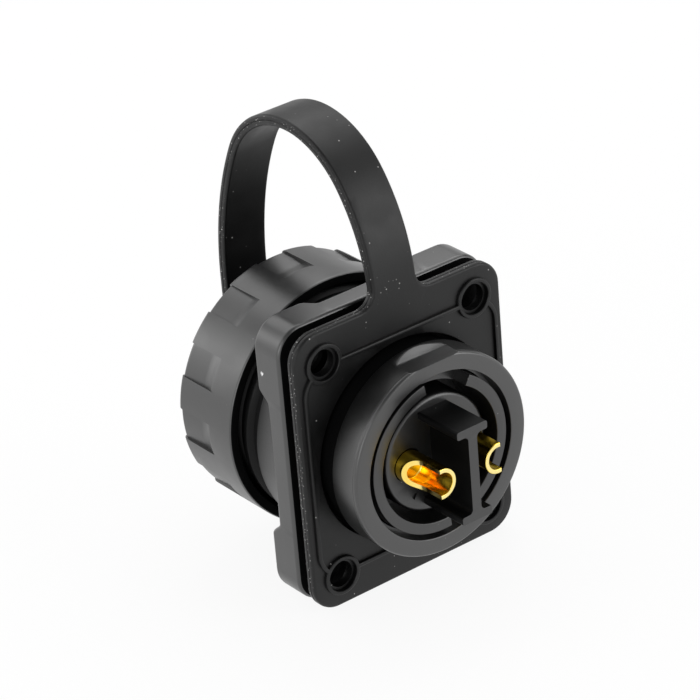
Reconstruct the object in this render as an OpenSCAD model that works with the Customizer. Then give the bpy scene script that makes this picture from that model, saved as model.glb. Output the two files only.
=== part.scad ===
// Round two-contact panel socket with a rubber gasket, a moulded tether strap and a screwed dust cap.
// Millimetres. The origin is the centre of the four-hole pattern on the panel's face.
// +X is right as seen from the solder side, +Y runs to the mating side, +Z is up, towards the strap.

/* [Flange] */
// Width of the flange and of the gasket
flange_w = 26; // [25.8:0.1:28]
// Height of the flange and of the gasket
flange_h = 31; // [30:0.1:34]
// Radius of the flange's corners
corner_r = 3; // [2:0.1:3.4]
// Thickness of the flange at its corners
flange_t = 4; // [3.4:0.1:5]
// Distance between the screw holes across the flange
hole_dx = 19; // [18.6:0.1:19.6]
// Distance between the screw holes up the flange
hole_dz = 24; // [23.6:0.1:25]
// Diameter of the screw holes in the flange and the gasket
screw_d = 3.3; // [3:0.1:3.4]
// Depth of the notches in the middle of the flange's four sides
notch_depth = 1.3; // [0.6:0.1:2]
// Half height of the notches at the left and right, at full depth
side_notch_half = 6.8; // [5:0.1:7.2]
// Half width of the notches at the top and bottom, at full depth
end_notch_half = 5.7; // [4:0.1:6]
// Length of the slope at each end of a notch
notch_slope = 1.6; // [1:0.1:2]

/* [Barrels] */
// Diameter of the rear barrel, which passes through the panel
rear_barrel_d = 21.7; // [21:0.1:22]
// Length of the rear barrel behind the panel's face
rear_barrel_l = 5.1; // [4.5:0.1:8]
// Length of the rear barrel's full diameter, before the neck that the gasket lies on
rear_collar_l = 3.7; // [3.2:0.1:4.4]
// Depth of that neck
neck_depth = 0.5; // [0.2:0.05:0.8]
// Step from the ring's bore out to the mouth of the rear barrel
mouth_step = 0.4; // [0.2:0.05:0.8]
// Depth of the mouth's wide part
mouth_depth = 1.8; // [1:0.1:2.4]
// Depth of the flat that is cut on top of the rear barrel
flat_depth = 0.46; // [0.3:0.02:0.7]
// Length of that flat
flat_l = 2.5; // [1.5:0.1:3]
// Height of the plain collar at the root of the front barrel, over the thread
collar_step = 0.4; // [0.2:0.05:0.5]
// Length of that collar
collar_l = 1.8; // [1:0.1:2.6]
// Diameter of the front barrel over its thread
thread_d = 24.4; // [24:0.1:24.6]
// Length of the front barrel from the flange to the mating end
front_barrel_l = 10.3; // [9:0.1:13]
// Bore of the front barrel
front_bore_d = 20.8; // [20:0.1:21.2]
// Width of the key rib inside the front barrel
key_w = 2.4; // [1.6:0.1:3]
// Height of the key rib
key_h = 1.2; // [0.8:0.1:1.6]

/* [Insulator] */
// Diameter of the insulator's rear boss, around the solder cups
boss_d = 12.7; // [12.2:0.1:13]
// Depth of the boss's face inside the rear barrel
boss_recess = 0.95; // [0.5:0.05:1.6]
// Length of the boss from its face to the shoulder
boss_l = 4.9; // [4:0.1:6]
// Thickness of the insulator's shoulder
shoulder_t = 2.2; // [1.6:0.1:3]
// Diameter of the spigot that faces the mating side
spigot_d = 13.4; // [12.8:0.1:14]
// Depth of the spigot's face inside the front barrel
spigot_recess = 4.8; // [4.5:0.1:5.4]
// Thickness of the shell's inner web, through which the spigot passes
web_t = 2; // [1.4:0.1:2.4]
// Height of the barrier between the cups, over its flanges
barrier_h = 10.5; // [9.4:0.1:11]
// Length of the barrier behind the boss's face
barrier_l = 6; // [4:0.1:8]
// Thickness of the barrier's web
barrier_web = 1.1; // [0.8:0.1:1.6]
// Width of the barrier's two flanges
barrier_flange_w = 3.8; // [3:0.1:4.4]
// Thickness of the barrier's two flanges
barrier_flange_t = 0.9; // [0.7:0.1:1.3]
// Section of the O-ring between the shoulder and the web
seal_section = 1; // [0.8:0.1:1.4]

/* [Contacts] */
// Distance of each contact from the middle
contact_x = 3.55; // [3.4:0.05:3.8]
// Outer diameter of the solder cup
cup_d = 3.34; // [3:0.02:3.5]
// Bore of the solder cup
cup_bore_d = 2.44; // [2:0.02:2.6]
// Length of the cup behind the boss's face
cup_l = 5.4; // [4.6:0.1:7]
// Length of the cup's cut-away side, with the cutter's run-out
cup_open_l = 4.4; // [3.4:0.1:4.6]
// Radius of the round cutter that opens the cup
cutter_r = 2.5; // [2:0.1:4]
// Outer diameter of the socket at the mating end
socket_d = 4.2; // [3.8:0.1:4.6]
// Bore of that socket
socket_bore_d = 2.5; // [2:0.1:2.8]
// Length of the socket
socket_l = 9; // [8:0.1:9.4]

/* [Retaining ring] */
// Outer diameter of the retaining ring
ring_d = 17; // [16.8:0.1:17.4]
// Wall of the retaining ring
ring_wall = 1.2; // [0.9:0.05:1.5]
// Depth of the ring's face inside the rear barrel
ring_recess = 0.15; // [0.05:0.05:0.5]
// Depth of the two tool slots in the ring
ring_slot_depth = 2; // [1:0.1:3]

/* [Gasket and tether] */
// Thickness of the gasket and of the strap
gasket_t = 1.2; // [1:0.1:1.6]
// Height of the sealing ribs on the gasket
rib_h = 0.35; // [0.2:0.05:0.5]
// Width of the sealing ribs
rib_w = 0.45; // [0.3:0.05:0.6]
// Width of the raised rim round each screw hole
rim_w = 0.5; // [0.3:0.05:0.7]
// Gap between the loose gasket and the flange
gasket_gap = 1.3; // [0.2:0.1:2]
// Width of the strap
strap_w = 5.4; // [5:0.1:7]
// Bend radius of the strap above the gasket
strap_root_r = 19; // [16:0.1:22]
// Bend angle of the strap above the gasket
strap_root_bend = 37; // [30:1:42]
// Bend radius of the strap above the cap
strap_leg_r = 35; // [28:0.5:40]
// Bend angle of the strap above the cap
strap_leg_bend = 27; // [20:1:30]
// Outer diameter of the eyelet at the strap's end
eyelet_d = 10.4; // [9:0.1:12]

/* [Cap] */
// Thickness of the cap's side wall
cap_wall = 1.1; // [0.9:0.05:1.6]
// Thickness of the cap's closed end
cap_top_t = 2; // [1.2:0.1:2.4]
// Length of the cap
cap_l = 8.9; // [8:0.1:10]
// Thickness of the seal inside the cap
cap_seal_t = 1.2; // [0.8:0.1:1.6]
// Number of grip pockets round the cap
grip_n = 12; // [8:1:16]
// Angle of each grip pocket
grip_angle = 15; // [10:0.5:18]
// Length of the grip pockets from the closed end
grip_l = 5.4; // [4:0.1:6.4]
// Depth of the grip pockets near their inner end
grip_depth = 0.46; // [0.2:0.02:0.6]
// Depth of the grip pockets where they run out at the closed end
grip_end_depth = 0.18; // [0.05:0.01:0.2]
// Diameter of the end of the hub that carries the strap's eyelet
hub_d = 9; // [8:0.1:10]
// Diameter of that hub at its root
hub_root_d = 12; // [11:0.1:13]
// Length of that hub
hub_l = 5; // [4:0.1:8]

/* [Swivel] */
// Diameter of the swivel screw's shoulder
shoulder_d = 5; // [4.4:0.1:6]
// Diameter of the swivel screw's head
head_d = 7; // [6.6:0.1:8]
// Height of the swivel screw's head
head_t = 1.5; // [1.2:0.1:2]
// Diameter of the swivel screw's threaded shank
shank_d = 2.5; // [2:0.1:3]
// Outer diameter of the washer under the head
washer_d = 9; // [8:0.1:10]
// Thickness of that washer
washer_t = 0.5; // [0.4:0.05:1]

/* [Hidden] */
$fn = 96;

// How far a cutting tool runs past the face that it cuts
over = 1;
// Clearances: gasket on barrel, ring in bore, parts in bores, seals, swivel and thread
gasket_clear = 0.05;
ring_clear = 0.1;
bore_clear = 0.08;
seal_clear = 0.02;
swivel_clear = 0.06;
eyelet_clear = 0.3;
thread_clear = 0.35;
play = 0.1;
// Corner radii of the mouldings
edge_r = 0.6;
boss_edge_r = 0.45;
barrier_fillet_r = 0.5;
root_fillet_r = 1.8;
// Width and depth of the edge break at the rear barrel's end
barrel_break = 0.25;
// Points on each smooth slope of a notch, and the angle between points on the strap's bends
slope_steps = 8;
bend_step = 3;
// Angles of the retaining ring's slots, from +X towards +Z: middle and width of each
ring_slots = [[80, 40], [-71, 28]];
// Share of the cup's radius at which its side is cut away
cup_cut_share = 0.17;
// Width of the slits in the contact's socket, and of the screw's driver slot
slit_w = 0.4;
slit_share = 0.7;
driver_slot_w = 0.9;
driver_slot_depth = 0.7;
// Slope at the inner end of a grip pocket, and the angle of the first pocket from the top
grip_slope = 1;
grip_turn = 3.3;
// Distance of the upright ribs on the gasket from its edge, and of the level ribs below the holes' line
rib_inset = 0.95;
rib_drop = 0.25;
// Radius of the rib frame's corners, which run under the rims of the holes
rib_corner_r = 3;
// The small triangle sunk in the insulator below the left cup: its place, half width and depth
mark_place = [-3.1, -3.75];
mark_half = 0.45;
mark_depth = 0.2;
// Depth of the screw's hole in the hub, short of the cap's inside
pilot_floor = 0.5;

// Stations along the axis, from the panel's face
y_gasket_rear = rib_h;
y_gasket_front = y_gasket_rear + gasket_t;
y_flange_rear = y_gasket_front + gasket_gap;
y_flange_front = y_flange_rear + flange_t;
y_barrel_end = -rear_barrel_l;
y_neck = y_barrel_end + rear_collar_l;
y_mate = y_flange_front + front_barrel_l;
y_boss = y_barrel_end + boss_recess;
y_shoulder_rear = y_boss + boss_l;
y_shoulder_front = y_shoulder_rear + shoulder_t;
y_web_rear = y_shoulder_front + seal_section + 2 * seal_clear;
y_web_front = y_web_rear + web_t;
y_spigot = y_mate - spigot_recess;
y_cup_end = y_boss - cup_l;
y_socket_end = y_spigot - rim_w;
y_step = y_socket_end - socket_l;
y_ring = y_barrel_end + ring_recess;
y_seal = y_mate + play;
y_cap_inner = y_seal + cap_seal_t;
y_cap_end = y_cap_inner + cap_top_t;
y_cap_rim = y_cap_end - cap_l;
y_hub = y_cap_end + hub_l;
y_eyelet = y_hub + 2 * play;
y_washer = y_eyelet + gasket_t + play;
y_head = y_washer + washer_t + play;

// Radii that follow from the diameters
rear_r = rear_barrel_d / 2;
ring_r = ring_d / 2;
ring_bore_r = ring_r - ring_wall;
nut_bore_r = ring_r + ring_clear;
mouth_r = nut_bore_r + mouth_step;
insert_shoulder_r = nut_bore_r - ring_clear;
spigot_r = spigot_d / 2;
front_bore_r = front_bore_d / 2;
thread_r = thread_d / 2;
collar_r = thread_r + collar_step;
cap_bore_r = thread_r + thread_clear;
cap_r = cap_bore_r + cap_wall;
seal_mid_r = (spigot_r + insert_shoulder_r) / 2;
rim_r = screw_d / 2 + rim_w;
eyelet_bore_r = shoulder_d / 2 + eyelet_clear;

// The strap: its middle line rises from the gasket, and its top bend spans to the eyelet
strap_y0 = y_gasket_rear + gasket_t / 2;
strap_z0 = flange_h / 2;
strap_span = y_eyelet + gasket_t / 2 - strap_y0;
strap_root_run = strap_root_r * (1 - cos(strap_root_bend));
strap_leg_run = strap_leg_r * (1 - cos(strap_leg_bend));
strap_top_r = (strap_span - strap_root_run - strap_leg_run) / (cos(strap_root_bend) + cos(strap_leg_bend));
strap_top_bend = 180 - strap_root_bend - strap_leg_bend;
strap_top_y = strap_y0 + strap_root_r - (strap_root_r - strap_top_r) * cos(strap_root_bend);
strap_top_z = strap_z0 + (strap_root_r - strap_top_r) * sin(strap_root_bend);
strap_leg_y = y_eyelet + gasket_t / 2;
strap_leg_z = strap_top_z + strap_top_r * sin(strap_leg_bend) - strap_leg_r * sin(strap_leg_bend);

// A flat outline in X and Z, with its thickness between two stations
module plate(y0, y1) {
    translate([0, y1, 0])
        rotate([90, 0, 0])
            linear_extrude(y1 - y0)
                children();
}

// A profile of radius and station, turned about the socket's axis
module turned() {
    rotate([-90, 0, 0])
        rotate_extrude()
            children();
}

// A plain tube between two stations
module tube(r_in, r_out, y0, y1) {
    turned()
        translate([r_in, y0])
            square([r_out - r_in, y1 - y0]);
}

module rounded_rect(w, h, r) {
    square([w - 2 * r, h], center = true);
    square([w, h - 2 * r], center = true);
    for (x = [-1, 1], z = [-1, 1])
        translate([x * (w / 2 - r), z * (h / 2 - r)])
            circle(r);
}

// A concave corner, to be added where two straight edges meet
module corner_fillet(r) {
    difference() {
        square(r);
        translate([r, r])
            circle(r);
    }
}

module at_screw_holes() {
    for (x = [-1, 1], z = [-1, 1])
        translate([x * hole_dx / 2, z * hole_dz / 2])
            children();
}

// A wedge from the axis, for cuts that run over an angle
module wedge(middle, width, r) {
    half = width / 2;
    polygon([[0, 0],
             r * [cos(middle - half), sin(middle - half)],
             r * [cos(middle), sin(middle)] * 1.2,
             r * [cos(middle + half), sin(middle + half)]]);
}

// Section of a notch: a flat floor that rises to the flange's face in two smooth slopes
function slope_rise(t) = t * t * (3 - 2 * t);

module notch_section(half) {
    slope = [for (i = [0 : slope_steps])
        [half + notch_slope * i / slope_steps, slope_rise(i / slope_steps)]];
    right = [for (p = slope) [p[0], y_flange_front - notch_depth * (1 - p[1])]];
    left = [for (i = [slope_steps : -1 : 0]) [-right[i][0], right[i][1]]];
    lid = [[half + notch_slope, y_flange_front + over], [-half - notch_slope, y_flange_front + over]];
    polygon(concat(right, lid, left));
}

module flange_plate() {
    difference() {
        plate(y_flange_rear, y_flange_front)
            rounded_rect(flange_w, flange_h, corner_r);
        translate([0, 0, -flange_h])
            linear_extrude(2 * flange_h)
                notch_section(end_notch_half);
        translate([-flange_w, 0, 0])
            rotate([90, 0, 90])
                linear_extrude(2 * flange_w)
                    rotate(90)
                        mirror([0, 1])
                            notch_section(side_notch_half);
    }
}

module shell_bore() {
    turned()
        polygon([[0, y_barrel_end - over], [mouth_r, y_barrel_end - over],
                 [mouth_r, y_barrel_end + mouth_depth], [nut_bore_r, y_barrel_end + mouth_depth],
                 [nut_bore_r, y_web_rear], [spigot_r + ring_clear, y_web_rear],
                 [spigot_r + ring_clear, y_web_front], [front_bore_r, y_web_front],
                 [front_bore_r, y_mate + over], [0, y_mate + over]]);
}

module rear_barrel() {
    difference() {
        turned()
            polygon([[0, y_barrel_end], [rear_r - barrel_break, y_barrel_end],
                     [rear_r, y_barrel_end + barrel_break],
                     [rear_r, y_neck], [rear_r - neck_depth, y_neck], [rear_r - neck_depth, y_flange_front],
                     [0, y_flange_front]]);
        translate([-rear_r, y_barrel_end - over, rear_r - flat_depth])
            cube([2 * rear_r, flat_l + over, rear_r]);
    }
}

module front_barrel() {
    turned()
        polygon([[0, y_flange_rear], [collar_r, y_flange_rear], [collar_r, y_flange_front + collar_l],
                 [thread_r, y_flange_front + collar_l + collar_step],
                 [thread_r, y_mate - edge_r], [thread_r - edge_r, y_mate], [0, y_mate]]);
}

module flange_shell() {
    color("#1b1c1e") {
        difference() {
            union() {
                flange_plate();
                rear_barrel();
                front_barrel();
            }
            shell_bore();
            plate(y_flange_rear - over, y_flange_front + over)
                at_screw_holes()
                    circle(screw_d / 2);
        }
        intersection() {
            plate(y_web_front - edge_r, y_mate - spigot_recess / 2)
                translate([0, front_bore_r])
                    square([key_w, 2 * key_h], center = true);
            tube(0, front_bore_r + edge_r, y_web_front - over, y_mate);
        }
    }
}

// Points of one bend of the strap, seen from the side as station and height
function bend_points(y, z, r, start, sweep) =
    let (n = ceil(sweep / bend_step))
        [for (i = [0 : n]) [y - r * cos(start + sweep * i / n), z + r * sin(start + sweep * i / n)]];

// One face of the strap from the gasket to the eyelet, a given distance outside its middle line
function strap_face(offset) =
    concat(bend_points(strap_y0 + strap_root_r, strap_z0, strap_root_r + offset, 0, strap_root_bend),
           bend_points(strap_top_y, strap_top_z, strap_top_r + offset, strap_root_bend, strap_top_bend),
           bend_points(strap_leg_y - strap_leg_r, strap_leg_z, strap_leg_r + offset,
                       180 - strap_leg_bend, strap_leg_bend),
           [[strap_leg_y + offset, 0]]);

// The bent strip that the strap is cut from
module strap_strip(width) {
    outside = strap_face(gasket_t / 2);
    inside = strap_face(-gasket_t / 2);
    rotate([90, 0, 90])
        linear_extrude(width, center = true)
            polygon(concat(outside, [for (i = [len(inside) - 1 : -1 : 0]) inside[i]]));
}

// Outline of the strap's root, with a fillet at each side where it leaves the gasket
module strap_root_outline() {
    for (side = [0, 1])
        mirror([side, 0]) {
            square([strap_w / 2, strap_z0 + root_fillet_r]);
            translate([strap_w / 2, strap_z0])
                corner_fillet(root_fillet_r);
        }
}

module strap() {
    strap_strip(strap_w);
    intersection() {
        strap_strip(strap_w + 2 * root_fillet_r);
        plate(0, strap_y0 + gasket_t)
            strap_root_outline();
    }
}

// The raised rib runs round the gasket as one rounded frame, and a rim stands round each hole
module rib_frame(grow) {
    rounded_rect(flange_w + 2 * (grow - rib_inset), hole_dz + 2 * (grow - rib_drop), rib_corner_r + grow);
}

module sealing_ribs() {
    at_screw_holes()
        circle(rim_r);
    difference() {
        rib_frame(rib_w / 2);
        rib_frame(-rib_w / 2);
    }
}

module gasket_tether() {
    color("#202123") {
        difference() {
            union() {
                plate(y_gasket_rear, y_gasket_front)
                    rounded_rect(flange_w, flange_h, corner_r);
                plate(0, y_gasket_rear + gasket_t / 2)
                    sealing_ribs();
            }
            plate(-over, y_gasket_front + over) {
                circle(rear_r + gasket_clear);
                at_screw_holes()
                    circle(screw_d / 2);
            }
        }
        difference() {
            union() {
                strap();
                plate(y_eyelet, y_eyelet + gasket_t)
                    circle(eyelet_d / 2);
            }
            plate(y_eyelet - over, y_eyelet + gasket_t + over)
                circle(eyelet_bore_r);
        }
    }
}

module barrier_outline() {
    square([barrier_web, barrier_h], center = true);
    for (z = [0, 1])
        mirror([0, z]) {
            translate([0, barrier_h / 2 - barrier_flange_t / 2])
                square([barrier_flange_w, barrier_flange_t], center = true);
            for (x = [0, 1])
                mirror([x, 0])
                    translate([barrier_web / 2, barrier_h / 2 - barrier_flange_t])
                        mirror([0, 1])
                            corner_fillet(barrier_fillet_r);
        }
}

module boss_profile() {
    boss_r = boss_d / 2;
    difference() {
        translate([0, y_boss])
            square([boss_r, boss_l + over]);
        translate([boss_r, y_boss])
            mirror([1, 0])
                corner_fillet(boss_edge_r);
    }
}

module contact_insert() {
    color("#17181a")
        difference() {
            union() {
                turned()
                    boss_profile();
                tube(0, insert_shoulder_r, y_shoulder_rear, y_shoulder_front);
                tube(0, spigot_r, y_shoulder_rear, y_spigot);
                plate(y_boss - barrier_l, y_boss + over)
                    barrier_outline();
            }
            plate(y_boss - over, y_spigot + over)
                at_contacts()
                    circle(cup_d / 2 + bore_clear);
            plate(y_step, y_spigot + over)
                at_contacts()
                    circle(socket_d / 2 + bore_clear);
            plate(y_boss - over, y_boss + mark_depth)
                translate(mark_place)
                    polygon([[-mark_half, 0.6 * mark_half], [mark_half, 0.6 * mark_half], [0, -mark_half]]);
        }
}

module at_contacts() {
    for (x = [-1, 1])
        translate([x * contact_x, 0])
            children();
}

// One turned contact on the axis: a round cutter opens its cup towards +X and runs out of the side
module contact() {
    cup_r = cup_d / 2;
    cut_x = cup_r * cup_cut_share;
    run_out = sqrt(pow(cutter_r, 2) - pow(cutter_r - cup_r + cut_x, 2));
    flat_cut = cup_open_l - run_out;
    difference() {
        union() {
            tube(0, cup_r, y_cup_end, y_step);
            tube(0, socket_d / 2, y_step, y_socket_end);
        }
        tube(0, cup_bore_d / 2, y_cup_end - over, y_cup_end + cup_l - edge_r);
        tube(0, socket_bore_d / 2, y_socket_end - socket_l + edge_r, y_socket_end + over);
        translate([cut_x, y_cup_end - over, -cup_d])
            cube([cup_d, flat_cut + over, 2 * cup_d]);
        translate([cut_x + cutter_r, y_cup_end + flat_cut, 0])
            cylinder(h = 2 * cup_d, r = cutter_r, center = true);
        for (turn = [0, 90])
            rotate([0, turn, 0])
                translate([-socket_d, y_socket_end - socket_l * slit_share, -slit_w / 2])
                    cube([2 * socket_d, socket_l, slit_w]);
    }
}

module contact_right() {
    color("#d9a53a")
        translate([contact_x, 0, 0])
            contact();
}

module contact_left() {
    color("#d9a53a")
        translate([-contact_x, 0, 0])
            mirror([1, 0, 0])
                contact();
}

module retaining_ring() {
    color("#222326")
        difference() {
            tube(ring_bore_r, ring_r, y_ring, y_shoulder_rear);
            plate(y_ring - over, y_ring + ring_slot_depth)
                for (slot = ring_slots)
                    wedge(slot[0], slot[1], ring_d);
        }
}

module insert_seal() {
    color("#3a3b3d")
        turned()
            translate([seal_mid_r, y_shoulder_front + seal_section / 2 + seal_clear])
                circle(seal_section / 2);
}

module cap_profile() {
    difference() {
        union() {
            translate([0, y_cap_rim])
                square([cap_r, cap_l]);
            polygon([[0, y_cap_inner], [hub_root_d / 2, y_cap_inner], [hub_root_d / 2, y_cap_end],
                     [hub_d / 2, y_hub], [0, y_hub]]);
        }
        translate([0, y_cap_rim - over])
            square([cap_bore_r, y_cap_inner - y_cap_rim + over]);
        translate([cap_r, y_cap_end])
            mirror([1, 0])
                mirror([0, 1])
                    corner_fillet(edge_r);
        translate([0, y_cap_inner + pilot_floor])
            square([shank_d / 2 + bore_clear, hub_l + cap_top_t]);
    }
}

// One grip pocket: steep at its inner end, then rising gently to the closed end
module grip_pocket(middle) {
    floor_r = cap_r - grip_depth;
    y0 = y_cap_end - grip_l;
    rise = (grip_depth - grip_end_depth) / (grip_l - grip_slope);
    rotate([-90, 0, 0])
        rotate([0, 0, -middle - grip_angle / 2])
            rotate_extrude(angle = grip_angle)
                polygon([[cap_r + over, y0 - grip_slope * over / grip_depth], [floor_r, y0 + grip_slope],
                         [cap_r - grip_end_depth + rise * over, y_cap_end + over],
                         [cap_r + over, y_cap_end + over]]);
}

module cap_shell() {
    color("#242527")
        difference() {
            turned()
                cap_profile();
            for (i = [0 : grip_n - 1])
                grip_pocket(90 + grip_turn + i * 360 / grip_n);
        }
}

module cap_seal() {
    color("#303133")
        tube(0, cap_bore_r - play, y_seal, y_cap_inner);
}

module tether_washer() {
    color("#c9cbcd")
        tube(shoulder_d / 2 + swivel_clear, washer_d / 2, y_washer, y_washer + washer_t);
}

module tether_screw() {
    y_tip = y_cap_inner + pilot_floor + play;
    color("#b9bbbe")
        difference() {
            union() {
                tube(0, shank_d / 2, y_tip, y_hub + over);
                tube(0, shoulder_d / 2, y_hub, y_head + over);
                turned()
                    difference() {
                        translate([0, y_head])
                            square([head_d / 2, head_t]);
                        translate([head_d / 2, y_head + head_t])
                            mirror([1, 0])
                                mirror([0, 1])
                                    corner_fillet(edge_r);
                    }
            }
            translate([-head_d, y_head + head_t - driver_slot_depth, -driver_slot_w / 2])
                cube([2 * head_d, head_t, driver_slot_w]);
        }
}

flange_shell();
gasket_tether();
contact_insert();
contact_left();
contact_right();
retaining_ring();
insert_seal();
cap_shell();
cap_seal();
tether_washer();
tether_screw();
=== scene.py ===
"""Dresses a round panel socket: black mouldings, a rubber gasket and tether, gold solder cups and a cap.

Meshes are drawn in millimetres in the part's own frame, and become metres when a piece is published.
"""
import logging
import math
from abc import ABC, abstractmethod
from dataclasses import dataclass, field
from enum import Enum
from typing import Callable, Sequence

import bmesh
import bpy
from mathutils import Matrix, Vector


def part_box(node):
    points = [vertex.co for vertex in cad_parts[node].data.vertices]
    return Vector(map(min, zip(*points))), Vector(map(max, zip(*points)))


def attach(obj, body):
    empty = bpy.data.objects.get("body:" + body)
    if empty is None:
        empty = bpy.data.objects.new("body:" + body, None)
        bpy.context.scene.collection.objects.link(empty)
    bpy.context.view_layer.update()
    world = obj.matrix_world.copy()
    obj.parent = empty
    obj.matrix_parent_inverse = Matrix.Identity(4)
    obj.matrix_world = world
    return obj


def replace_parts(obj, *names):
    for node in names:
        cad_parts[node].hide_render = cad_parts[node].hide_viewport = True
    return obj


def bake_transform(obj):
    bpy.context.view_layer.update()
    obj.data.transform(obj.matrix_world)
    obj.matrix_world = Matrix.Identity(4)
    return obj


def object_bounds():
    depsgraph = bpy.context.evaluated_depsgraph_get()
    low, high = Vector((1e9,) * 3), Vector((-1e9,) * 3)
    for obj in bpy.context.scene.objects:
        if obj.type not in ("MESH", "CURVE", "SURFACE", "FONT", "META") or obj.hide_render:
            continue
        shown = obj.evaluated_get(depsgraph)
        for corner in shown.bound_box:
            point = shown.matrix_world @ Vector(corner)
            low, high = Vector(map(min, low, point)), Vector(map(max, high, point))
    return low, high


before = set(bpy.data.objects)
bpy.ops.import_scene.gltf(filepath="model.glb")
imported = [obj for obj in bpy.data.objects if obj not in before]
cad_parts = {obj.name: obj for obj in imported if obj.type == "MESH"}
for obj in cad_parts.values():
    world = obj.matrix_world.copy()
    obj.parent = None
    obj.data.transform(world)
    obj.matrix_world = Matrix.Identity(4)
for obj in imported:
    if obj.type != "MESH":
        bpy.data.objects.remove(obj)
CAD_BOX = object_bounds()

LOG = logging.getLogger("panel_socket")
MM = 0.001
ORIGIN = Vector((0.0, 0.0, 0.0))
AXIS = Vector((0.0, 1.0, 0.0))
FULL_TURN = 2 * math.pi
TURN_STEPS = 144
FILLET_SEGMENTS = 5
CORNER_SEGMENTS = 12
# Vertices this near each other are one.
MERGE_MM = 0.0005
# How far a cutter runs past what it cuts.
PAST_MM = 1.0
# How near a surface counts as on it.
NEAR_MM = 0.02
# Edges sharper than this can be rounded.
SHARP_EDGE = math.radians(40)
# Edges sharper than this are shaded as creases.
SMOOTH_LIMIT = math.radians(38)

Place = tuple[float, float, float]
Colour = tuple[float, float, float, float]
Mesh = bmesh.types.BMesh
Vert = bmesh.types.BMVert
Edge = bmesh.types.BMEdge
Face = bmesh.types.BMFace
Piece = bpy.types.Object
Material = bpy.types.Material
Socket = bpy.types.NodeSocket


class Body(Enum):
    """The rigid bodies that pieces ride on."""

    HOUSING = "housing"
    SWIVEL = "swivel"
    CAP = "cap"


class Slot(Enum):
    """The record's material slots."""

    SHELL = "shell_plastic"
    INSERT = "insert_plastic"
    CAP = "cap_plastic"
    GASKET = "gasket_rubber"
    SEAL = "seal_rubber"
    CONTACT = "contact_gold"
    SWIVEL = "swivel_steel"


class Trait(Enum):
    """What a finish can read from the faces of a piece: painted shade, given as lost gloss; edge dust; and a
    deeper gold painted as shade, against the paler gold painted as highlight on rims.
    """

    # Painted shade: where it is marked, gloss is taken down so that recesses, holes and gaps look darker, as
    # if shaded.
    PAINTED_SHADE = "matt"
    DUST = "dust"
    # Painted gold shade: a deeper gold on walls and in cups, while a paler painted highlight stays on rims.
    PAINTED_GOLD_SHADE = "deep"


class Join(Enum):
    """How one closed mesh acts on another."""

    UNION = "UNION"
    CUT = "DIFFERENCE"


@dataclass(frozen=True)
class Corner:
    """A corner of a turned profile: its radius, its station along the axis and its own rounding."""

    r: float
    y: float
    fillet: float = 0.0


def node_box(node: str) -> tuple[Vector, Vector]:
    """Gives a CAD node's lowest and highest corners in millimetres."""
    low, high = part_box(node)
    return low / MM, high / MM


def everything(bm: Mesh) -> list[Vert | Edge | Face]:
    """Lists all of a mesh's vertices, edges and faces."""
    return bm.verts[:] + bm.edges[:] + bm.faces[:]


def only(kind: type, geometry: Sequence[Vert | Edge | Face]) -> list[Vert | Edge | Face]:
    """Picks the vertices, the edges or the faces out of what an operator returns."""
    return [item for item in geometry if isinstance(item, kind)]


def four_places(x: float, z: float) -> list[tuple[float, float]]:
    """Lists the four places of a hole pattern from its half pitches."""
    return [(side * x, end * z) for side in (-1, 1) for end in (-1, 1)]


def is_wall(face: Face, slope: float) -> bool:
    """Tells whether a face runs along the socket's axis, to within a slope."""
    return abs(face.normal.y) < slope


def moved(bm: Mesh, by: Sequence[float]) -> Mesh:
    """Moves a whole mesh and gives it back."""
    bmesh.ops.translate(bm, verts=bm.verts[:], vec=by)
    return bm


def twisted(bm: Mesh, angle: float) -> Mesh:
    """Turns a whole mesh about the socket's axis and gives it back."""
    bmesh.ops.rotate(bm, verts=bm.verts[:], cent=ORIGIN, matrix=Matrix.Rotation(angle, 3, AXIS))
    return bm


def sealed(bm: Mesh) -> Mesh:
    """Merges a mesh's doubles and turns its faces outwards.

    Args:
        bm: The mesh.

    Returns:
        The same mesh.
    """
    bmesh.ops.remove_doubles(bm, verts=bm.verts[:], dist=MERGE_MM)
    bmesh.ops.dissolve_degenerate(bm, edges=bm.edges[:], dist=MERGE_MM)
    bmesh.ops.recalc_face_normals(bm, faces=bm.faces[:])
    return bm


def draw_wire(bm: Mesh, points: Sequence[Sequence[float]], closed: bool) -> list[Vert]:
    """Draws a chain of edges.

    Args:
        bm: The mesh to draw in.
        points: The chain's points.
        closed: Whether the last point joins the first.

    Returns:
        The chain's vertices, in order.
    """
    verts = [bm.verts.new(point) for point in points]
    following = verts[1:] + verts[:1] if closed else verts[1:]
    for start, end in zip(verts, following):
        bm.edges.new((start, end))
    return verts


def round_corner(bm: Mesh, vert: Vert, radius: float, segments: int = FILLET_SEGMENTS) -> None:
    """Rounds one corner of a wire with an arc that is tangent to both of its edges.

    Args:
        bm: The mesh that holds the wire.
        vert: The corner.
        radius: The arc's radius.
        segments: The arc's number of edges.
    """
    arms = [(edge.other_vert(vert).co - vert.co).normalized() for edge in vert.link_edges]
    tangent = radius / math.tan(arms[0].angle(arms[1]) / 2)
    bmesh.ops.bevel(bm, geom=[vert], offset=tangent, offset_type="OFFSET", segments=segments, profile=0.5,
                    affect="VERTICES", material=-1)


def draw_rectangle(bm: Mesh, half_w: float, half_h: float, y: float, radius: float) -> None:
    """Draws a wire rectangle with round corners, which faces along the socket's axis.

    Args:
        bm: The mesh to draw in.
        half_w: Half of its width.
        half_h: Half of its height.
        y: Its station along the axis.
        radius: The radius of its corners.
    """
    corners = [(-half_w, y, -half_h), (half_w, y, -half_h), (half_w, y, half_h), (-half_w, y, half_h)]
    for vert in draw_wire(bm, corners, closed=True):
        round_corner(bm, vert, radius, CORNER_SEGMENTS)


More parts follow.
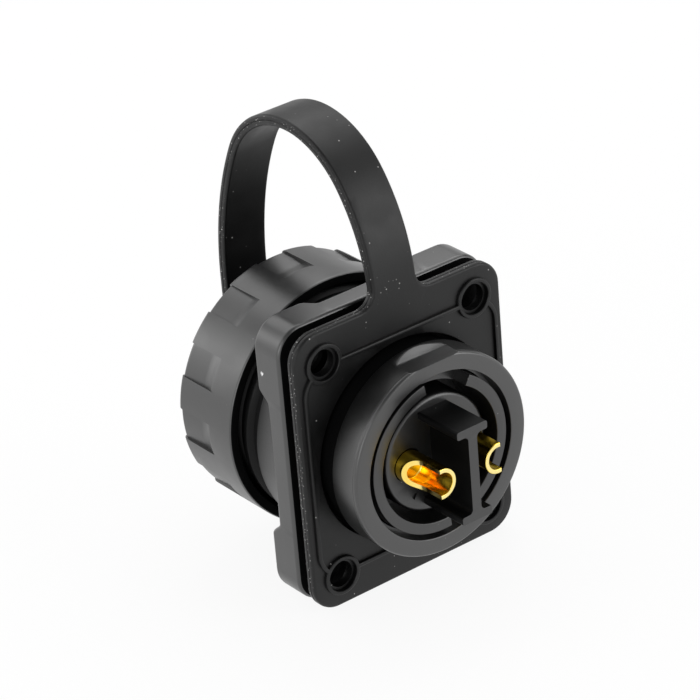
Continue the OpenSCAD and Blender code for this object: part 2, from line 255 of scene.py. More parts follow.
def draw_circle(bm: Mesh, radius: float, place: Sequence[float], segments: int) -> None:
    """Draws a wire circle that faces along the socket's axis."""
    upright = Matrix.Translation(place) @ Matrix.Rotation(math.pi / 2, 4, "X")
    bmesh.ops.create_circle(bm, cap_ends=False, radius=radius, segments=segments, matrix=upright)


def turned(corners: Sequence[Corner], closed: bool, steps: int = TURN_STEPS) -> Mesh:
    """Turns a profile about the socket's axis.

    Args:
        corners: The profile's corners.
        closed: Whether the profile is a loop; if not, the mesh closes only where the profile meets the axis.
        steps: Faces round the turn.

    Returns:
        The turned mesh.
    """
    bm = bmesh.new()
    verts = draw_wire(bm, [(c.r, c.y, 0.0) for c in corners], closed)
    for vert, corner in zip(verts, corners):
        if corner.fillet > 0:
            round_corner(bm, vert, corner.fillet)
    bmesh.ops.spin(bm, geom=bm.verts[:] + bm.edges[:], cent=ORIGIN, axis=AXIS, angle=FULL_TURN, steps=steps,
                   use_merge=True)
    return sealed(bm)


def raised(bm: Mesh, direction: Sequence[float]) -> Mesh:
    """Fills the wires of a flat drawing, with its holes, and pulls it into a closed slab.

    Args:
        bm: The mesh that holds the wires.
        direction: The way and the depth of the pull.

    Returns:
        The same mesh.
    """
    bmesh.ops.triangle_fill(bm, edges=bm.edges[:], use_beauty=True, use_dissolve=False, normal=direction)
    pulled = bmesh.ops.extrude_face_region(bm, geom=bm.faces[:], use_keep_orig=True)
    bmesh.ops.translate(bm, verts=only(Vert, pulled["geom"]), vec=direction)
    return sealed(bm)


def block(low: Sequence[float], high: Sequence[float]) -> Mesh:
    """Makes a box between two corners, for cutting.

    Args:
        low: The lowest corner.
        high: The highest corner.

    Returns:
        The box.
    """
    low, high = Vector(low), Vector(high)
    bm = bmesh.new()
    bmesh.ops.create_cube(bm, size=1.0)
    bmesh.ops.scale(bm, vec=high - low, verts=bm.verts[:])
    return moved(bm, (low + high) / 2)


def soften(bm: Mesh, width: float, segments: int, chosen: Callable[[Edge], bool]) -> None:
    """Rounds the sharp edges that a test chooses.

    Args:
        bm: The mesh.
        width: How far each rounding reaches from its edge.
        segments: Faces across the rounding.
        chosen: The test on an edge.
    """
    sharp = [e for e in bm.edges if e.is_manifold and e.calc_face_angle() > SHARP_EDGE and chosen(e)]
    bmesh.ops.bevel(bm, geom=sharp, offset=width, offset_type="OFFSET", segments=segments, profile=0.5,
                    affect="EDGES", clamp_overlap=True, material=-1)


def loose_object(name: str, bm: Mesh) -> Piece:
    """Makes an object of a mesh and puts it in the scene.

    Args:
        name: The object's name.
        bm: The mesh, which is freed.

    Returns:
        The object.
    """
    mesh = bpy.data.meshes.new(name)
    bm.to_mesh(mesh)
    bm.free()
    thing = bpy.data.objects.new(name, mesh)
    bpy.context.scene.collection.objects.link(thing)
    return thing


def combined(body: Mesh, tool: Mesh, join: Join) -> Mesh:
    """Joins one closed mesh to another, or cuts it with the other.

    Args:
        body: The mesh that is kept.
        tool: The mesh that is added or taken away.
        join: Which of the two is done.

    Returns:
        A new mesh. The two given meshes are freed.
    """
    body_object, tool_object = loose_object("body", body), loose_object("tool", tool)
    modifier = body_object.modifiers.new("join", "BOOLEAN")
    modifier.object = tool_object
    modifier.operation = join.value
    modifier.solver = "EXACT"
    bpy.context.view_layer.update()
    result = bmesh.new()
    result.from_object(body_object, bpy.context.evaluated_depsgraph_get())
    for thing in (body_object, tool_object):
        mesh = thing.data
        bpy.data.objects.remove(thing)
        bpy.data.meshes.remove(mesh)
    return sealed(result)


def absorb(bm: Mesh, other: Mesh) -> None:
    """Adds a mesh's faces to another's.

    Args:
        bm: The mesh that grows.
        other: The mesh that is added, which is freed.
    """
    mesh = bpy.data.meshes.new("surface")
    other.to_mesh(mesh)
    other.free()
    bm.from_mesh(mesh)
    bpy.data.meshes.remove(mesh)


def marked(bm: Mesh, trait: Trait, share: Callable[[Face, Vector], float]) -> Mesh:
    """Marks how much of a trait each face has at its corners, for finishes that vary over a piece.

    Args:
        bm: The mesh.
        trait: The trait.
        share: Gives the trait's share on a face at a corner's place.

    Returns:
        The same mesh.
    """
    bm.normal_update()
    layer = bm.loops.layers.float.new(trait.value)
    for face in bm.faces:
        for loop in face.loops:
            loop[layer] = share(face, loop.vert.co)
    return bm


def grey(level: float, warmth: float = 0.0) -> Colour:
    """Gives a near-grey colour, a little warm or, below zero, a little cool."""
    return (level * (1 + warmth), level, level * (1 - warmth), 1.0)


DUST_COLOUR = grey(0.5, 0.02)
CHIP_COLOUR = grey(0.75)


class Wiring:
    """Builds a material's nodes and links."""

    def __init__(self, name: str) -> None:
        """Starts a material with a Principled shader.

        Args:
            name: The material's name.
        """
        self.material = bpy.data.materials.new(name)
        self.material.use_nodes = True
        self.tree = self.material.node_tree
        self.shader = self.tree.nodes["Principled BSDF"]
        self.place = self.tree.nodes.new("ShaderNodeTexCoord").outputs["Object"]

    def add(self, kind: str, links: dict[str | int, object], **settings: object) -> bpy.types.Node:
        """Adds a node.

        Args:
            kind: The node's type, without its common start.
            links: Values or output sockets for the node's inputs, by name or number.
            settings: The node's own properties.

        Returns:
            The node.
        """
        node = self.tree.nodes.new("ShaderNode" + kind)
        for name, value in settings.items():
            setattr(node, name, value)
        for key, value in links.items():
            self.feed(node.inputs[key], value)
        return node

    def feed(self, socket: Socket, value: object) -> None:
        """Sets an input to a value, or links it to an output.

        Args:
            socket: The input.
            value: The value, or the output socket.
        """
        if isinstance(value, Socket):
            self.tree.links.new(value, socket)
        else:
            socket.default_value = value

    def noise(self, scale: float, detail: float = 2.0, stretch: Place = (1, 1, 1)) -> Socket:
        """Gives a noise on the piece's own coordinates, with a scale in cells per metre."""
        place = self.add("Mapping", {"Vector": self.place, "Scale": stretch}).outputs["Vector"]
        return self.add("TexNoise", {"Vector": place, "Scale": scale, "Detail": detail}).outputs["Fac"]

    def spread(self, value: Socket, low: float, high: float, start: float = 0.3, end: float = 0.7) -> Socket:
        """Maps a range of a value, the middle of a noise if none is given, to another range."""
        links = {"Value": value, "From Min": start, "From Max": end, "To Min": low, "To Max": high}
        return self.add("MapRange", links).outputs["Result"]

    def maths(self, operation: str, first: object, second: object) -> Socket:
        """Joins two values by an operation."""
        return self.add("Math", {0: first, 1: second}, operation=operation).outputs[0]

    def trait(self, trait: Trait) -> Socket:
        """Gives the share of a trait that is marked on the piece."""
        return self.add("Attribute", {}, attribute_name=trait.value).outputs["Fac"]

    def distance(self, place: Place) -> Socket:
        """Gives the distance in metres from a place in millimetres."""
        links = {0: self.place, 1: Vector(place) * MM}
        return self.add("VectorMath", links, operation="DISTANCE").outputs["Value"]

    def blend(self, share: Socket, first: Socket | Colour, second: Socket | Colour) -> Socket:
        """Mixes two colours by a share.

        Args:
            share: How much of the second colour there is.
            first: The first colour.
            second: The second colour.

        Returns:
            The mixed colour.
        """
        node = self.add("Mix", {0: share}, data_type="RGBA")
        self.feed(node.inputs[6], first)
        self.feed(node.inputs[7], second)
        return node.outputs[2]

    def mottled(self, pattern: Socket, first: Colour, second: Colour) -> Socket:
        """Gives a colour that swings between two with a noise."""
        return self.blend(self.spread(pattern, 0.0, 1.0), first, second)

    def dusted(self, tone: Socket, size: float, spacing: float, near: Socket | None = None) -> Socket:
        """Scatters pale dust specks over a colour.

        Args:
            tone: The clean colour.
            size: The specks' radius in millimetres.
            spacing: The distance between their places in millimetres.
            near: The share of the specks that settle at a place, where it isn't all of them.

        Returns:
            The dusted colour.
        """
        core_share = 0.4
        reach = size / spacing
        links = {"Vector": self.place, "Scale": 1 / (spacing * MM), "Randomness": 1.0}
        cells = self.add("TexVoronoi", links)
        spot = self.spread(cells.outputs["Distance"], 1.0, 0.0, reach * core_share, reach)
        chance = self.add("SeparateColor", {0: cells.outputs["Color"]}).outputs[0]
        share = self.maths("MULTIPLY", spot, chance)
        if near is not None:
            share = self.maths("MULTIPLY", share, near)
        return self.blend(share, tone, DUST_COLOUR)

    def chipped(self, tone: Socket, place: Place, radius: float) -> Socket:
        """Puts one small pale chip with a ragged edge on a colour.

        Args:
            tone: The colour round the chip.
            place: The chip's middle in millimetres.
            radius: Its radius in millimetres.

        Returns:
            The chipped colour.
        """
        edge_scale = 9000.0
        core, full, ragged = 0.7 * radius * MM, radius * MM, 0.5 * radius * MM
        wander = self.spread(self.noise(edge_scale, detail=1.0), -ragged, ragged)
        reach = self.maths("ADD", self.distance(place), wander)
        return self.blend(self.spread(reach, 1.0, 0.0, core, full), tone, CHIP_COLOUR)

    def surface(self, colour: Socket, roughness: Socket, height: Socket, depth: float,
                strength: float) -> None:
        """Feeds the shader's colour, roughness and relief.

        Args:
            colour: The colour.
            roughness: The roughness.
            height: The relief's pattern.
            depth: The relief's depth in metres.
            strength: How strongly it shows.
        """
        bump = self.add("Bump", {"Height": height, "Distance": depth, "Strength": strength})
        self.feed(self.shader.inputs["Base Color"], colour)
        self.feed(self.shader.inputs["Roughness"], roughness)
        self.feed(self.shader.inputs["Normal"], bump.outputs["Normal"])

    def gloss(self, full: float, matt: float) -> None:
        """Sets the shader's gloss, which is taken down where shade is painted on the piece, so that those
        faces look darker.
        """
        level = self.spread(self.trait(Trait.PAINTED_SHADE), full, matt, 0.0, 1.0)
        self.feed(self.shader.inputs["Specular IOR Level"], level)


class Finish(ABC):
    """A finish that builds its own material."""

    @abstractmethod
    def material(self) -> Material:
        """Builds the finish."""


@dataclass(frozen=True)
class SatinPlastic(Finish):
    """Black moulded plastic: an even satin with a fine grain, faint flow marks and a little dust."""

    name: str
    tone: float
    roughness: float
    specular: float = 1.0
    # Gloss where shade is painted, to darken those faces.
    shaded_specular: float = 0.02
    ior: float = 1.55
    cool: float = -0.02
    tone_swing: float = 0.12
    smoother: float = 0.04
    rougher: float = 0.05
    flow_scale: float = 240.0
    grain_scale: float = 2600.0
    grain_depth: float = 0.00002
    grain_strength: float = 0.22
    specks: float = 0.05
    speck_gap: float = 1.5
    chip: Place | None = None
    chip_r: float = 0.22

    def material(self) -> Material:
        """Builds the finish.

        Returns:
            The material.
        """
        w = Wiring(self.name)
        flow = w.noise(self.flow_scale, detail=3.0)
        tone = w.mottled(flow, grey(self.tone * (1 - self.tone_swing), self.cool),
                         grey(self.tone * (1 + self.tone_swing), self.cool))
        tone = w.dusted(tone, self.specks, self.speck_gap)
        if self.chip is not None:
            tone = w.chipped(tone, self.chip, self.chip_r)
        roughness = w.spread(flow, self.roughness - self.smoother, self.roughness + self.rougher)
        w.surface(tone, roughness, w.noise(self.grain_scale), self.grain_depth, self.grain_strength)
        w.shader.inputs["IOR"].default_value = self.ior
        w.gloss(self.specular, self.shaded_specular)
        return w.material


@dataclass(frozen=True)
class MattRubber(Finish):
    """Black moulded rubber: dull, faintly mottled, with dust that clings to it and to its edges."""

    name: str
    tone: float
    roughness: float
    specular: float = 0.35
    # Gloss where shade is painted, to darken those faces.
    shaded_specular: float = 0.05
    cool: float = -0.02
    tone_swing: float = 0.2
    rough_swing: float = 0.06
    mottle_scale: float = 330.0
    grain_scale: float = 3800.0
    grain_depth: float = 0.00002
    grain_strength: float = 0.3
    specks: float = 0.095
    speck_gap: float = 1.3
    dusty: Place | None = None
    dusty_core_r: float = 0.66
    dusty_r: float = 2.2
    dusty_gap: float = 0.55
    edge_specks: float = 0.075
    edge_gap: float = 0.3

    def material(self) -> Material:
        """Builds the finish.

        Returns:
            The material.
        """
        w = Wiring(self.name)
        mottle = w.noise(self.mottle_scale, detail=4.0)
        tone = w.mottled(mottle, grey(self.tone * (1 - self.tone_swing), self.cool),
                         grey(self.tone * (1 + self.tone_swing), self.cool))
        tone = w.dusted(tone, self.specks, self.speck_gap)
        if self.dusty is not None:
            near = w.spread(w.distance(self.dusty), 1.0, 0.0, self.dusty_core_r * MM, self.dusty_r * MM)
            tone = w.dusted(tone, self.specks, self.dusty_gap, near)
        tone = w.dusted(tone, self.edge_specks, self.edge_gap, w.trait(Trait.DUST))
        roughness = w.spread(mottle, self.roughness - self.rough_swing, self.roughness + self.rough_swing)
        w.surface(tone, roughness, w.noise(self.grain_scale), self.grain_depth, self.grain_strength)
        w.gloss(self.specular, self.shaded_specular)
        return w.material


@dataclass(frozen=True)
class GoldPlate(Finish):
    """Bright gold plate over turned metal, with fine turning marks: a pale gold on cut rims is a painted
    highlight, and a deeper gold on walls and in the cup is painted shade.
    """

    name: str = "gold_plate"
    # A paler gold painted on rims as highlight, and a deeper gold painted on walls as shade.
    rim: Colour = (1.0, 0.84, 0.34, 1.0)
    shaded_wall: Colour = (1.0, 0.71, 0.06, 1.0)
    cloudy_shaded_wall: Colour = (0.99, 0.62, 0.04, 1.0)
    smoothest: float = 0.12
    roughest: float = 0.22
    scale: float = 900.0
    mark_stretch: Place = (0.2, 6.0, 0.2)
    mark_depth: float = 0.00002
    mark_strength: float = 0.15

    def material(self) -> Material:
        """Builds the finish.

        Returns:
            The material.
        """
        w = Wiring(self.name)
        cloud = w.noise(self.scale)
        # Painted gold shade on walls and in the cup, painted highlight on rims.
        colour = w.blend(w.trait(Trait.PAINTED_GOLD_SHADE), self.rim, w.mottled(cloud, self.cloudy_shaded_wall, self.shaded_wall))
        marks = w.noise(self.scale, stretch=self.mark_stretch)
        roughness = w.spread(cloud, self.smoothest, self.roughest)
        w.surface(colour, roughness, marks, self.mark_depth, self.mark_strength)
        w.shader.inputs["Metallic"].default_value = 1.0
        return w.material


@dataclass(frozen=True)
class PlainSteel(Finish):
    """Plain turned steel with fine marks and a faint cloudiness."""

    name: str = "plain_steel"
    dark_tone: float = 0.522
    light_tone: float = 0.6264
    smoothest: float = 0.24
    roughest: float = 0.4
    cloud_scale: float = 500.0
    mark_scale: float = 1400.0
    mark_stretch: Place = (1.0, 0.2, 1.0)
    mark_depth: float = 0.00001
    mark_strength: float = 0.2

    def material(self) -> Material:
        """Builds the finish.

        Returns:
            The material.
        """
        w = Wiring(self.name)
        cloud = w.noise(self.cloud_scale, detail=3.0)
        marks = w.noise(self.mark_scale, stretch=self.mark_stretch)
        colour = w.mottled(cloud, grey(self.dark_tone), grey(self.light_tone))
        roughness = w.spread(marks, self.smoothest, self.roughest)
        w.surface(colour, roughness, marks, self.mark_depth, self.mark_strength)
        w.shader.inputs["Metallic"].default_value = 1.0
        return w.material


class Finishes:
    """The part's materials, one for each slot in its record."""

    def __init__(self) -> None:
        """Builds every finish once."""
        looks: dict[Slot, Finish] = {
            Slot.SHELL: SatinPlastic("shell_plastic", 0.004, 0.33, chip=(-13.0, 5.8, 10.2)),
            Slot.INSERT: SatinPlastic("insert_plastic", 0.0035, 0.34, specular=0.78),
            Slot.CAP: SatinPlastic("cap_plastic", 0.004, 0.34),
            Slot.GASKET: MattRubber("gasket_rubber", 0.0035, 0.43, dusty=(-0.8, 0.4, 17.0)),
            Slot.SEAL: MattRubber("seal_rubber", 0.0035, 0.55),
            Slot.CONTACT: GoldPlate(),
            Slot.SWIVEL: PlainSteel(),
        }
        self.by_slot = {slot: look.material() for slot, look in looks.items()}

    def dress(self, piece: Piece, slot: Slot) -> None:
        """Gives a piece, or a CAD node that stays in view, its finish.

        Args:
            piece: The piece.
            slot: The record's slot that it takes its finish from.
        """
        piece.data.materials.clear()
        piece.data.materials.append(self.by_slot[slot])
        LOG.info("%s: %d faces, %s", piece.name, len(piece.data.polygons), slot.value)

    def publish(self, name: str, bm: Mesh, slot: Slot) -> Piece:
        """Makes a finished object of a mesh in millimetres.

        Args:
            name: The piece's name.
            bm: The mesh, which is freed.
            slot: The record's slot that it takes its finish from.

        Returns:
            The piece, not yet riding on a body.
        """
        bmesh.ops.scale(bm, vec=(MM, MM, MM), verts=bm.verts[:])
        piece = loose_object(name, bm)
        for polygon in piece.data.polygons:
            polygon.use_smooth = True
        piece.data.set_sharp_from_angle(angle=SMOOTH_LIMIT)
        weighted = piece.modifiers.new("even_shading", "WEIGHTED_NORMAL")
        weighted.keep_sharp = True
        self.dress(piece, slot)
        return piece

    def fit(self, name: str, bm: Mesh, slot: Slot, body: Body, node: str) -> None:
        """Publishes a piece that rides on a body and stands for a CAD node."""
        piece = self.publish(name, bm, slot)
        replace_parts(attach(piece, body.value), node)


class Assembly(ABC):
    """A sub-assembly of the part, which holds its own sizes in millimetres."""

    @abstractmethod
    def build(self, finishes: Finishes) -> None:
        """Makes the sub-assembly's pieces and fits them to the part."""


@dataclass
class FlangeShell(Assembly):
    """The housing in one moulding: a notched four-hole flange between a plain barrel and a threaded one."""

    corner_r: float = 3.0
    flange_rear: float = 2.85
    flange_front: float = 6.85
    notch_depth: float = 1.3
    side_notch_half: float = 6.8
    end_notch_half: float = 5.7
    notch_slope: float = 1.6
    slope_steps: int = 8
    edge_r: float = 0.42
    edge_angle: float = math.radians(60)
    level_angle: float = math.radians(1)
    hole_x: float = 9.5
    hole_z: float = 12.0
    hole_r: float = 1.65
    hole_lead: float = 0.25
    hole_margin: float = 0.05
    rear_r: float = 10.85
    rear_edge: float = 0.3
    neck_r: float = 10.35
    neck_y: float = -1.4
    neck_edge: float = 0.08
    mouth_r: float = 9.0
    mouth_depth: float = 1.8
    mouth_edge: float = 0.12
    nut_bore_r: float = 8.6
    nut_bore_edge: float = 0.05
    web_y: tuple[float, float] = (3.99, 5.99)
    web_fillet: float = 0.2
    spigot_hole_r: float = 6.8
    front_edge: float = 0.5
    front_bore_r: float = 10.4
    front_bore_edge: float = 0.3
    collar_r: float = 12.6
    collar_l: float = 1.8
    collar_edge: float = 0.25
    collar_slope: float = 0.4
    overlap: float = 0.5
    thread_r: float = 12.2
    thread_depth: float = 0.55
    thread_pitch: float = 2.0
    thread_turns: float = 2.6
    thread_lead_in: float = 1.4
    thread_sunk: float = 0.1
    ridge_root_half: float = 0.75
    ridge_top_half: float = 0.28
    ridge_edge: float = 0.12
    flat_z: float = 10.39
    flat_end: float = -2.95
    flat_run: float = 1.15
    seam_in: float = 0.5
    seam_depth: float = 0.06
    key_half: float = 1.2
    key_h: float = 1.2
    key_end: float = 2.4
    key_edge: float = 0.2
    # Shares of painted shade, given as lost gloss: on the flat, on the rear barrel towards the neck, and on
    # the collar and thread in the cap's shade.
    shade_on_flat: float = 0.5
    shade_towards_neck: float = 0.8
    shade_on_collar: tuple[float, float] = (0.35, 0.9)
    low: Vector = field(init=False)
    high: Vector = field(init=False)

    def __post_init__(self) -> None:
        """Takes the overall sizes from the frame."""
        self.low, self.high = node_box("flange_shell")

    def front_face(self, x: float, z: float) -> float:
        """Gives the station of the flange's front face, which is lower in the notches.

        Args:
            x: Place across the flange.
            z: Place up the flange.

        Returns:
            The station along the axis.
        """
        def rise(distance: float, half: float) -> float:
            """Gives the share of the full height at a distance from a notch's middle."""
            t = min(max((abs(distance) - half) / self.notch_slope, 0.0), 1.0)
            return t * t * (3 - 2 * t)

        lowest = min(rise(x, self.end_notch_half), rise(z, self.side_notch_half))
        return self.flange_front - self.notch_depth * (1 - lowest)

    def slope_lines(self, half: float) -> list[float]:
        """Gives the places where a notch's two slopes are cut into strips."""
        steps = [half + self.notch_slope * i / self.slope_steps for i in range(self.slope_steps + 1)]
        return [-s for s in reversed(steps)] + steps

    def plate(self) -> Mesh:
        """Makes the flange's plate, with its notches, soft edges and screw holes.

        Returns:
            The plate.
        """
        bm = bmesh.new()
        draw_rectangle(bm, self.high.x, self.high.z, self.flange_rear, self.corner_r)
        raised(bm, (0.0, self.flange_front - self.flange_rear, 0.0))
        bmesh.ops.dissolve_limit(bm, angle_limit=self.level_angle, verts=bm.verts[:], edges=bm.edges[:])
        notches = ((Vector((1, 0, 0)), self.end_notch_half), (Vector((0, 0, 1)), self.side_notch_half))
        for normal, half in notches:
            for place in self.slope_lines(half):
                bmesh.ops.bisect_plane(bm, geom=everything(bm), plane_co=normal * place, plane_no=normal)
        for vert in bm.verts:
            if vert.co.y > self.flange_front - MERGE_MM:
                vert.co.y = self.front_face(vert.co.x, vert.co.z)
        edges = [e for e in bm.edges if e.is_manifold and e.calc_face_angle() > self.edge_angle]
        bmesh.ops.bevel(bm, geom=edges, offset=self.edge_r, offset_type="OFFSET", segments=4, profile=0.5,
                        affect="EDGES", clamp_overlap=True, loop_slide=True, material=-1)
        sealed(bm)
        for x, z in four_places(self.hole_x, self.hole_z):
            bm = combined(bm, moved(self.screw_hole(), (x, 0, z)), Join.CUT)
        return bm

    def screw_hole(self) -> Mesh:
        """Makes the cutter of a screw hole on the axis, with a small lead-in at the rear.

        Returns:
            The cutter.
        """
        wide_r = self.hole_r + self.hole_lead
        start, end = self.flange_rear - PAST_MM, self.flange_front + PAST_MM
        return turned([Corner(0, start), Corner(wide_r, start), Corner(wide_r, self.flange_rear),
                       Corner(self.hole_r, self.flange_rear + self.hole_lead), Corner(self.hole_r, end),
                       Corner(0, end)], closed=False, steps=40)

    def barrels(self) -> Mesh:
        """Makes both barrels and their bores as one turning.

        Returns:
            The turning.
        """
        rear, mate = self.low.y, self.high.y
        seam_y, step_y = rear + self.seam_in, rear + self.mouth_depth
        inside_flange = self.flange_rear + self.overlap
        collar_end = self.flange_front + self.collar_l
        root_r = self.thread_r - self.thread_depth
        web_rear, web_front = self.web_y
        return turned([
            Corner(self.mouth_r, rear, self.mouth_edge),
            Corner(self.rear_r, rear, self.rear_edge),
            Corner(self.rear_r, seam_y - self.seam_depth),
            Corner(self.rear_r - self.seam_depth, seam_y),
            Corner(self.rear_r, seam_y + self.seam_depth),
            Corner(self.rear_r, self.neck_y, self.neck_edge),
            Corner(self.neck_r, self.neck_y),
            Corner(self.neck_r, inside_flange),
            Corner(self.collar_r, inside_flange),
            Corner(self.collar_r, collar_end, self.collar_edge),
            Corner(root_r, collar_end + self.collar_slope),
            Corner(root_r, mate, self.front_edge),
            Corner(self.front_bore_r, mate, self.front_bore_edge),
            Corner(self.front_bore_r, web_front, self.web_fillet),
            Corner(self.spigot_hole_r, web_front),
            Corner(self.spigot_hole_r, web_rear),
            Corner(self.nut_bore_r, web_rear),
            Corner(self.nut_bore_r, step_y, self.nut_bore_edge),
            Corner(self.mouth_r, step_y),
        ], closed=True, steps=192)

    def key(self) -> Mesh:
        """Makes the key in the front bore that lets the plug in one way round.

        Returns:
            The key.
        """
        bm = block((-self.key_half, self.web_y[1] - self.overlap, self.front_bore_r - self.key_h),
                   (self.key_half, self.high.y - self.key_end, self.front_bore_r + self.overlap))
        soften(bm, self.key_edge, segments=2,
               chosen=lambda e: all(v.co.z < self.front_bore_r for v in e.verts))
        return sealed(bm)

    def flat(self) -> Mesh:
        """Makes the cutter of the flat on top of the rear barrel, which runs out of the barrel on a slope.

        Returns:
            The cutter.
        """
        top = self.rear_r + PAST_MM
        bm = block((-self.rear_r, self.low.y - PAST_MM, self.flat_z), (self.rear_r, self.flat_end, top))
        slope = self.flat_run / (self.rear_r - self.flat_z)
        for vert in bm.verts:
            if vert.co.y > self.low.y and vert.co.z > self.flat_z + MERGE_MM:
                vert.co.y += slope * (top - self.flat_z)
        return bm

    def thread(self) -> Mesh:
        """Makes the front barrel's thread as one ridge on a screw line, closed at both ends.

        Returns:
            The ridge.
        """
        bm = bmesh.new()
        root_r = self.thread_r - self.thread_depth - self.thread_sunk
        middle = self.flange_front + self.collar_l + self.thread_lead_in
        root, top = self.ridge_root_half, self.ridge_top_half
        ridge = draw_wire(bm, [(root_r, middle - root, 0), (self.thread_r, middle - top, 0),
                               (self.thread_r, middle + top, 0), (root_r, middle + root, 0)], closed=True)
        for vert in ridge[1:3]:
            round_corner(bm, vert, self.ridge_edge, segments=2)
        steps = int(TURN_STEPS * self.thread_turns)
        first = bm.edges[:]
        swept = bmesh.ops.spin(bm, geom=bm.verts[:] + first, cent=ORIGIN, axis=AXIS,
                               dvec=AXIS * (self.thread_pitch * self.thread_turns / steps),
                               angle=-FULL_TURN * self.thread_turns, steps=steps)
        for ends in (first, only(Edge, swept["geom_last"])):
            bmesh.ops.contextual_create(bm, geom=ends)
        return sealed(bm)

    def painted_shade_share(self, face: Face, at: Vector) -> float:
        """Gives how much shade is painted on the moulding, as lost gloss: all of it in recesses and screw
        holes, and more towards the neck and the thread.

        Args:
            face: A face of the moulding.
            at: The place of one of its corners.

        Returns:
            The share, from 0 to 1.
        """
        middle = face.calc_center_median()
        from_axis = math.hypot(at.x, at.z)
        from_hole = math.hypot(abs(middle.x) - self.hole_x, abs(middle.z) - self.hole_z)
        outside = from_axis > self.mouth_r + self.overlap
        on_rear_barrel = outside and middle.y < self.neck_y
        if outside and self.neck_y < middle.y < self.flange_rear + NEAR_MM:
            return 1.0
        faces_up = face.normal.z > 0.99
        if on_rear_barrel and faces_up:
            return self.shade_on_flat
        if on_rear_barrel and is_wall(face, slope=0.2):
            return max(0.0, self.shade_towards_neck * (at.y - self.low.y - self.seam_in) / (self.neck_y - self.low.y))
        in_flange = self.flange_rear < middle.y < self.flange_front
        if in_flange and from_hole < self.hole_r + self.hole_lead + self.hole_margin:
            return 1.0
        on_front_barrel = self.front_bore_r + self.overlap < from_axis < self.collar_r + NEAR_MM
        if on_front_barrel and is_wall(face, slope=0.9) and middle.y > self.flange_rear + 2 * self.overlap:
            start, end = self.shade_on_collar
            return max(0.0, min(end, start + (end - start) * (at.y - self.flange_front) / self.collar_l))
        return 0.0

    def build(self, finishes: Finishes) -> None:
        """Makes the housing and its thread.

        Args:
            finishes: The part's finishes.
        """
        bm = combined(combined(self.barrels(), self.plate(), Join.UNION), self.key(), Join.UNION)
        # Shade is painted on the moulding's recesses, holes, flat and barrels as lost gloss.
        bm = marked(combined(bm, self.flat(), Join.CUT), Trait.PAINTED_SHADE, self.painted_shade_share)
        finishes.fit("shell_moulding", bm, Slot.SHELL, Body.HOUSING, "flange_shell")
        # Shade is painted on the whole thread as lost gloss.
        ridge = marked(self.thread(), Trait.PAINTED_SHADE, lambda face, at: self.shade_on_collar[1])
        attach(finishes.publish("front_thread", ridge, Slot.SHELL), Body.HOUSING.value)


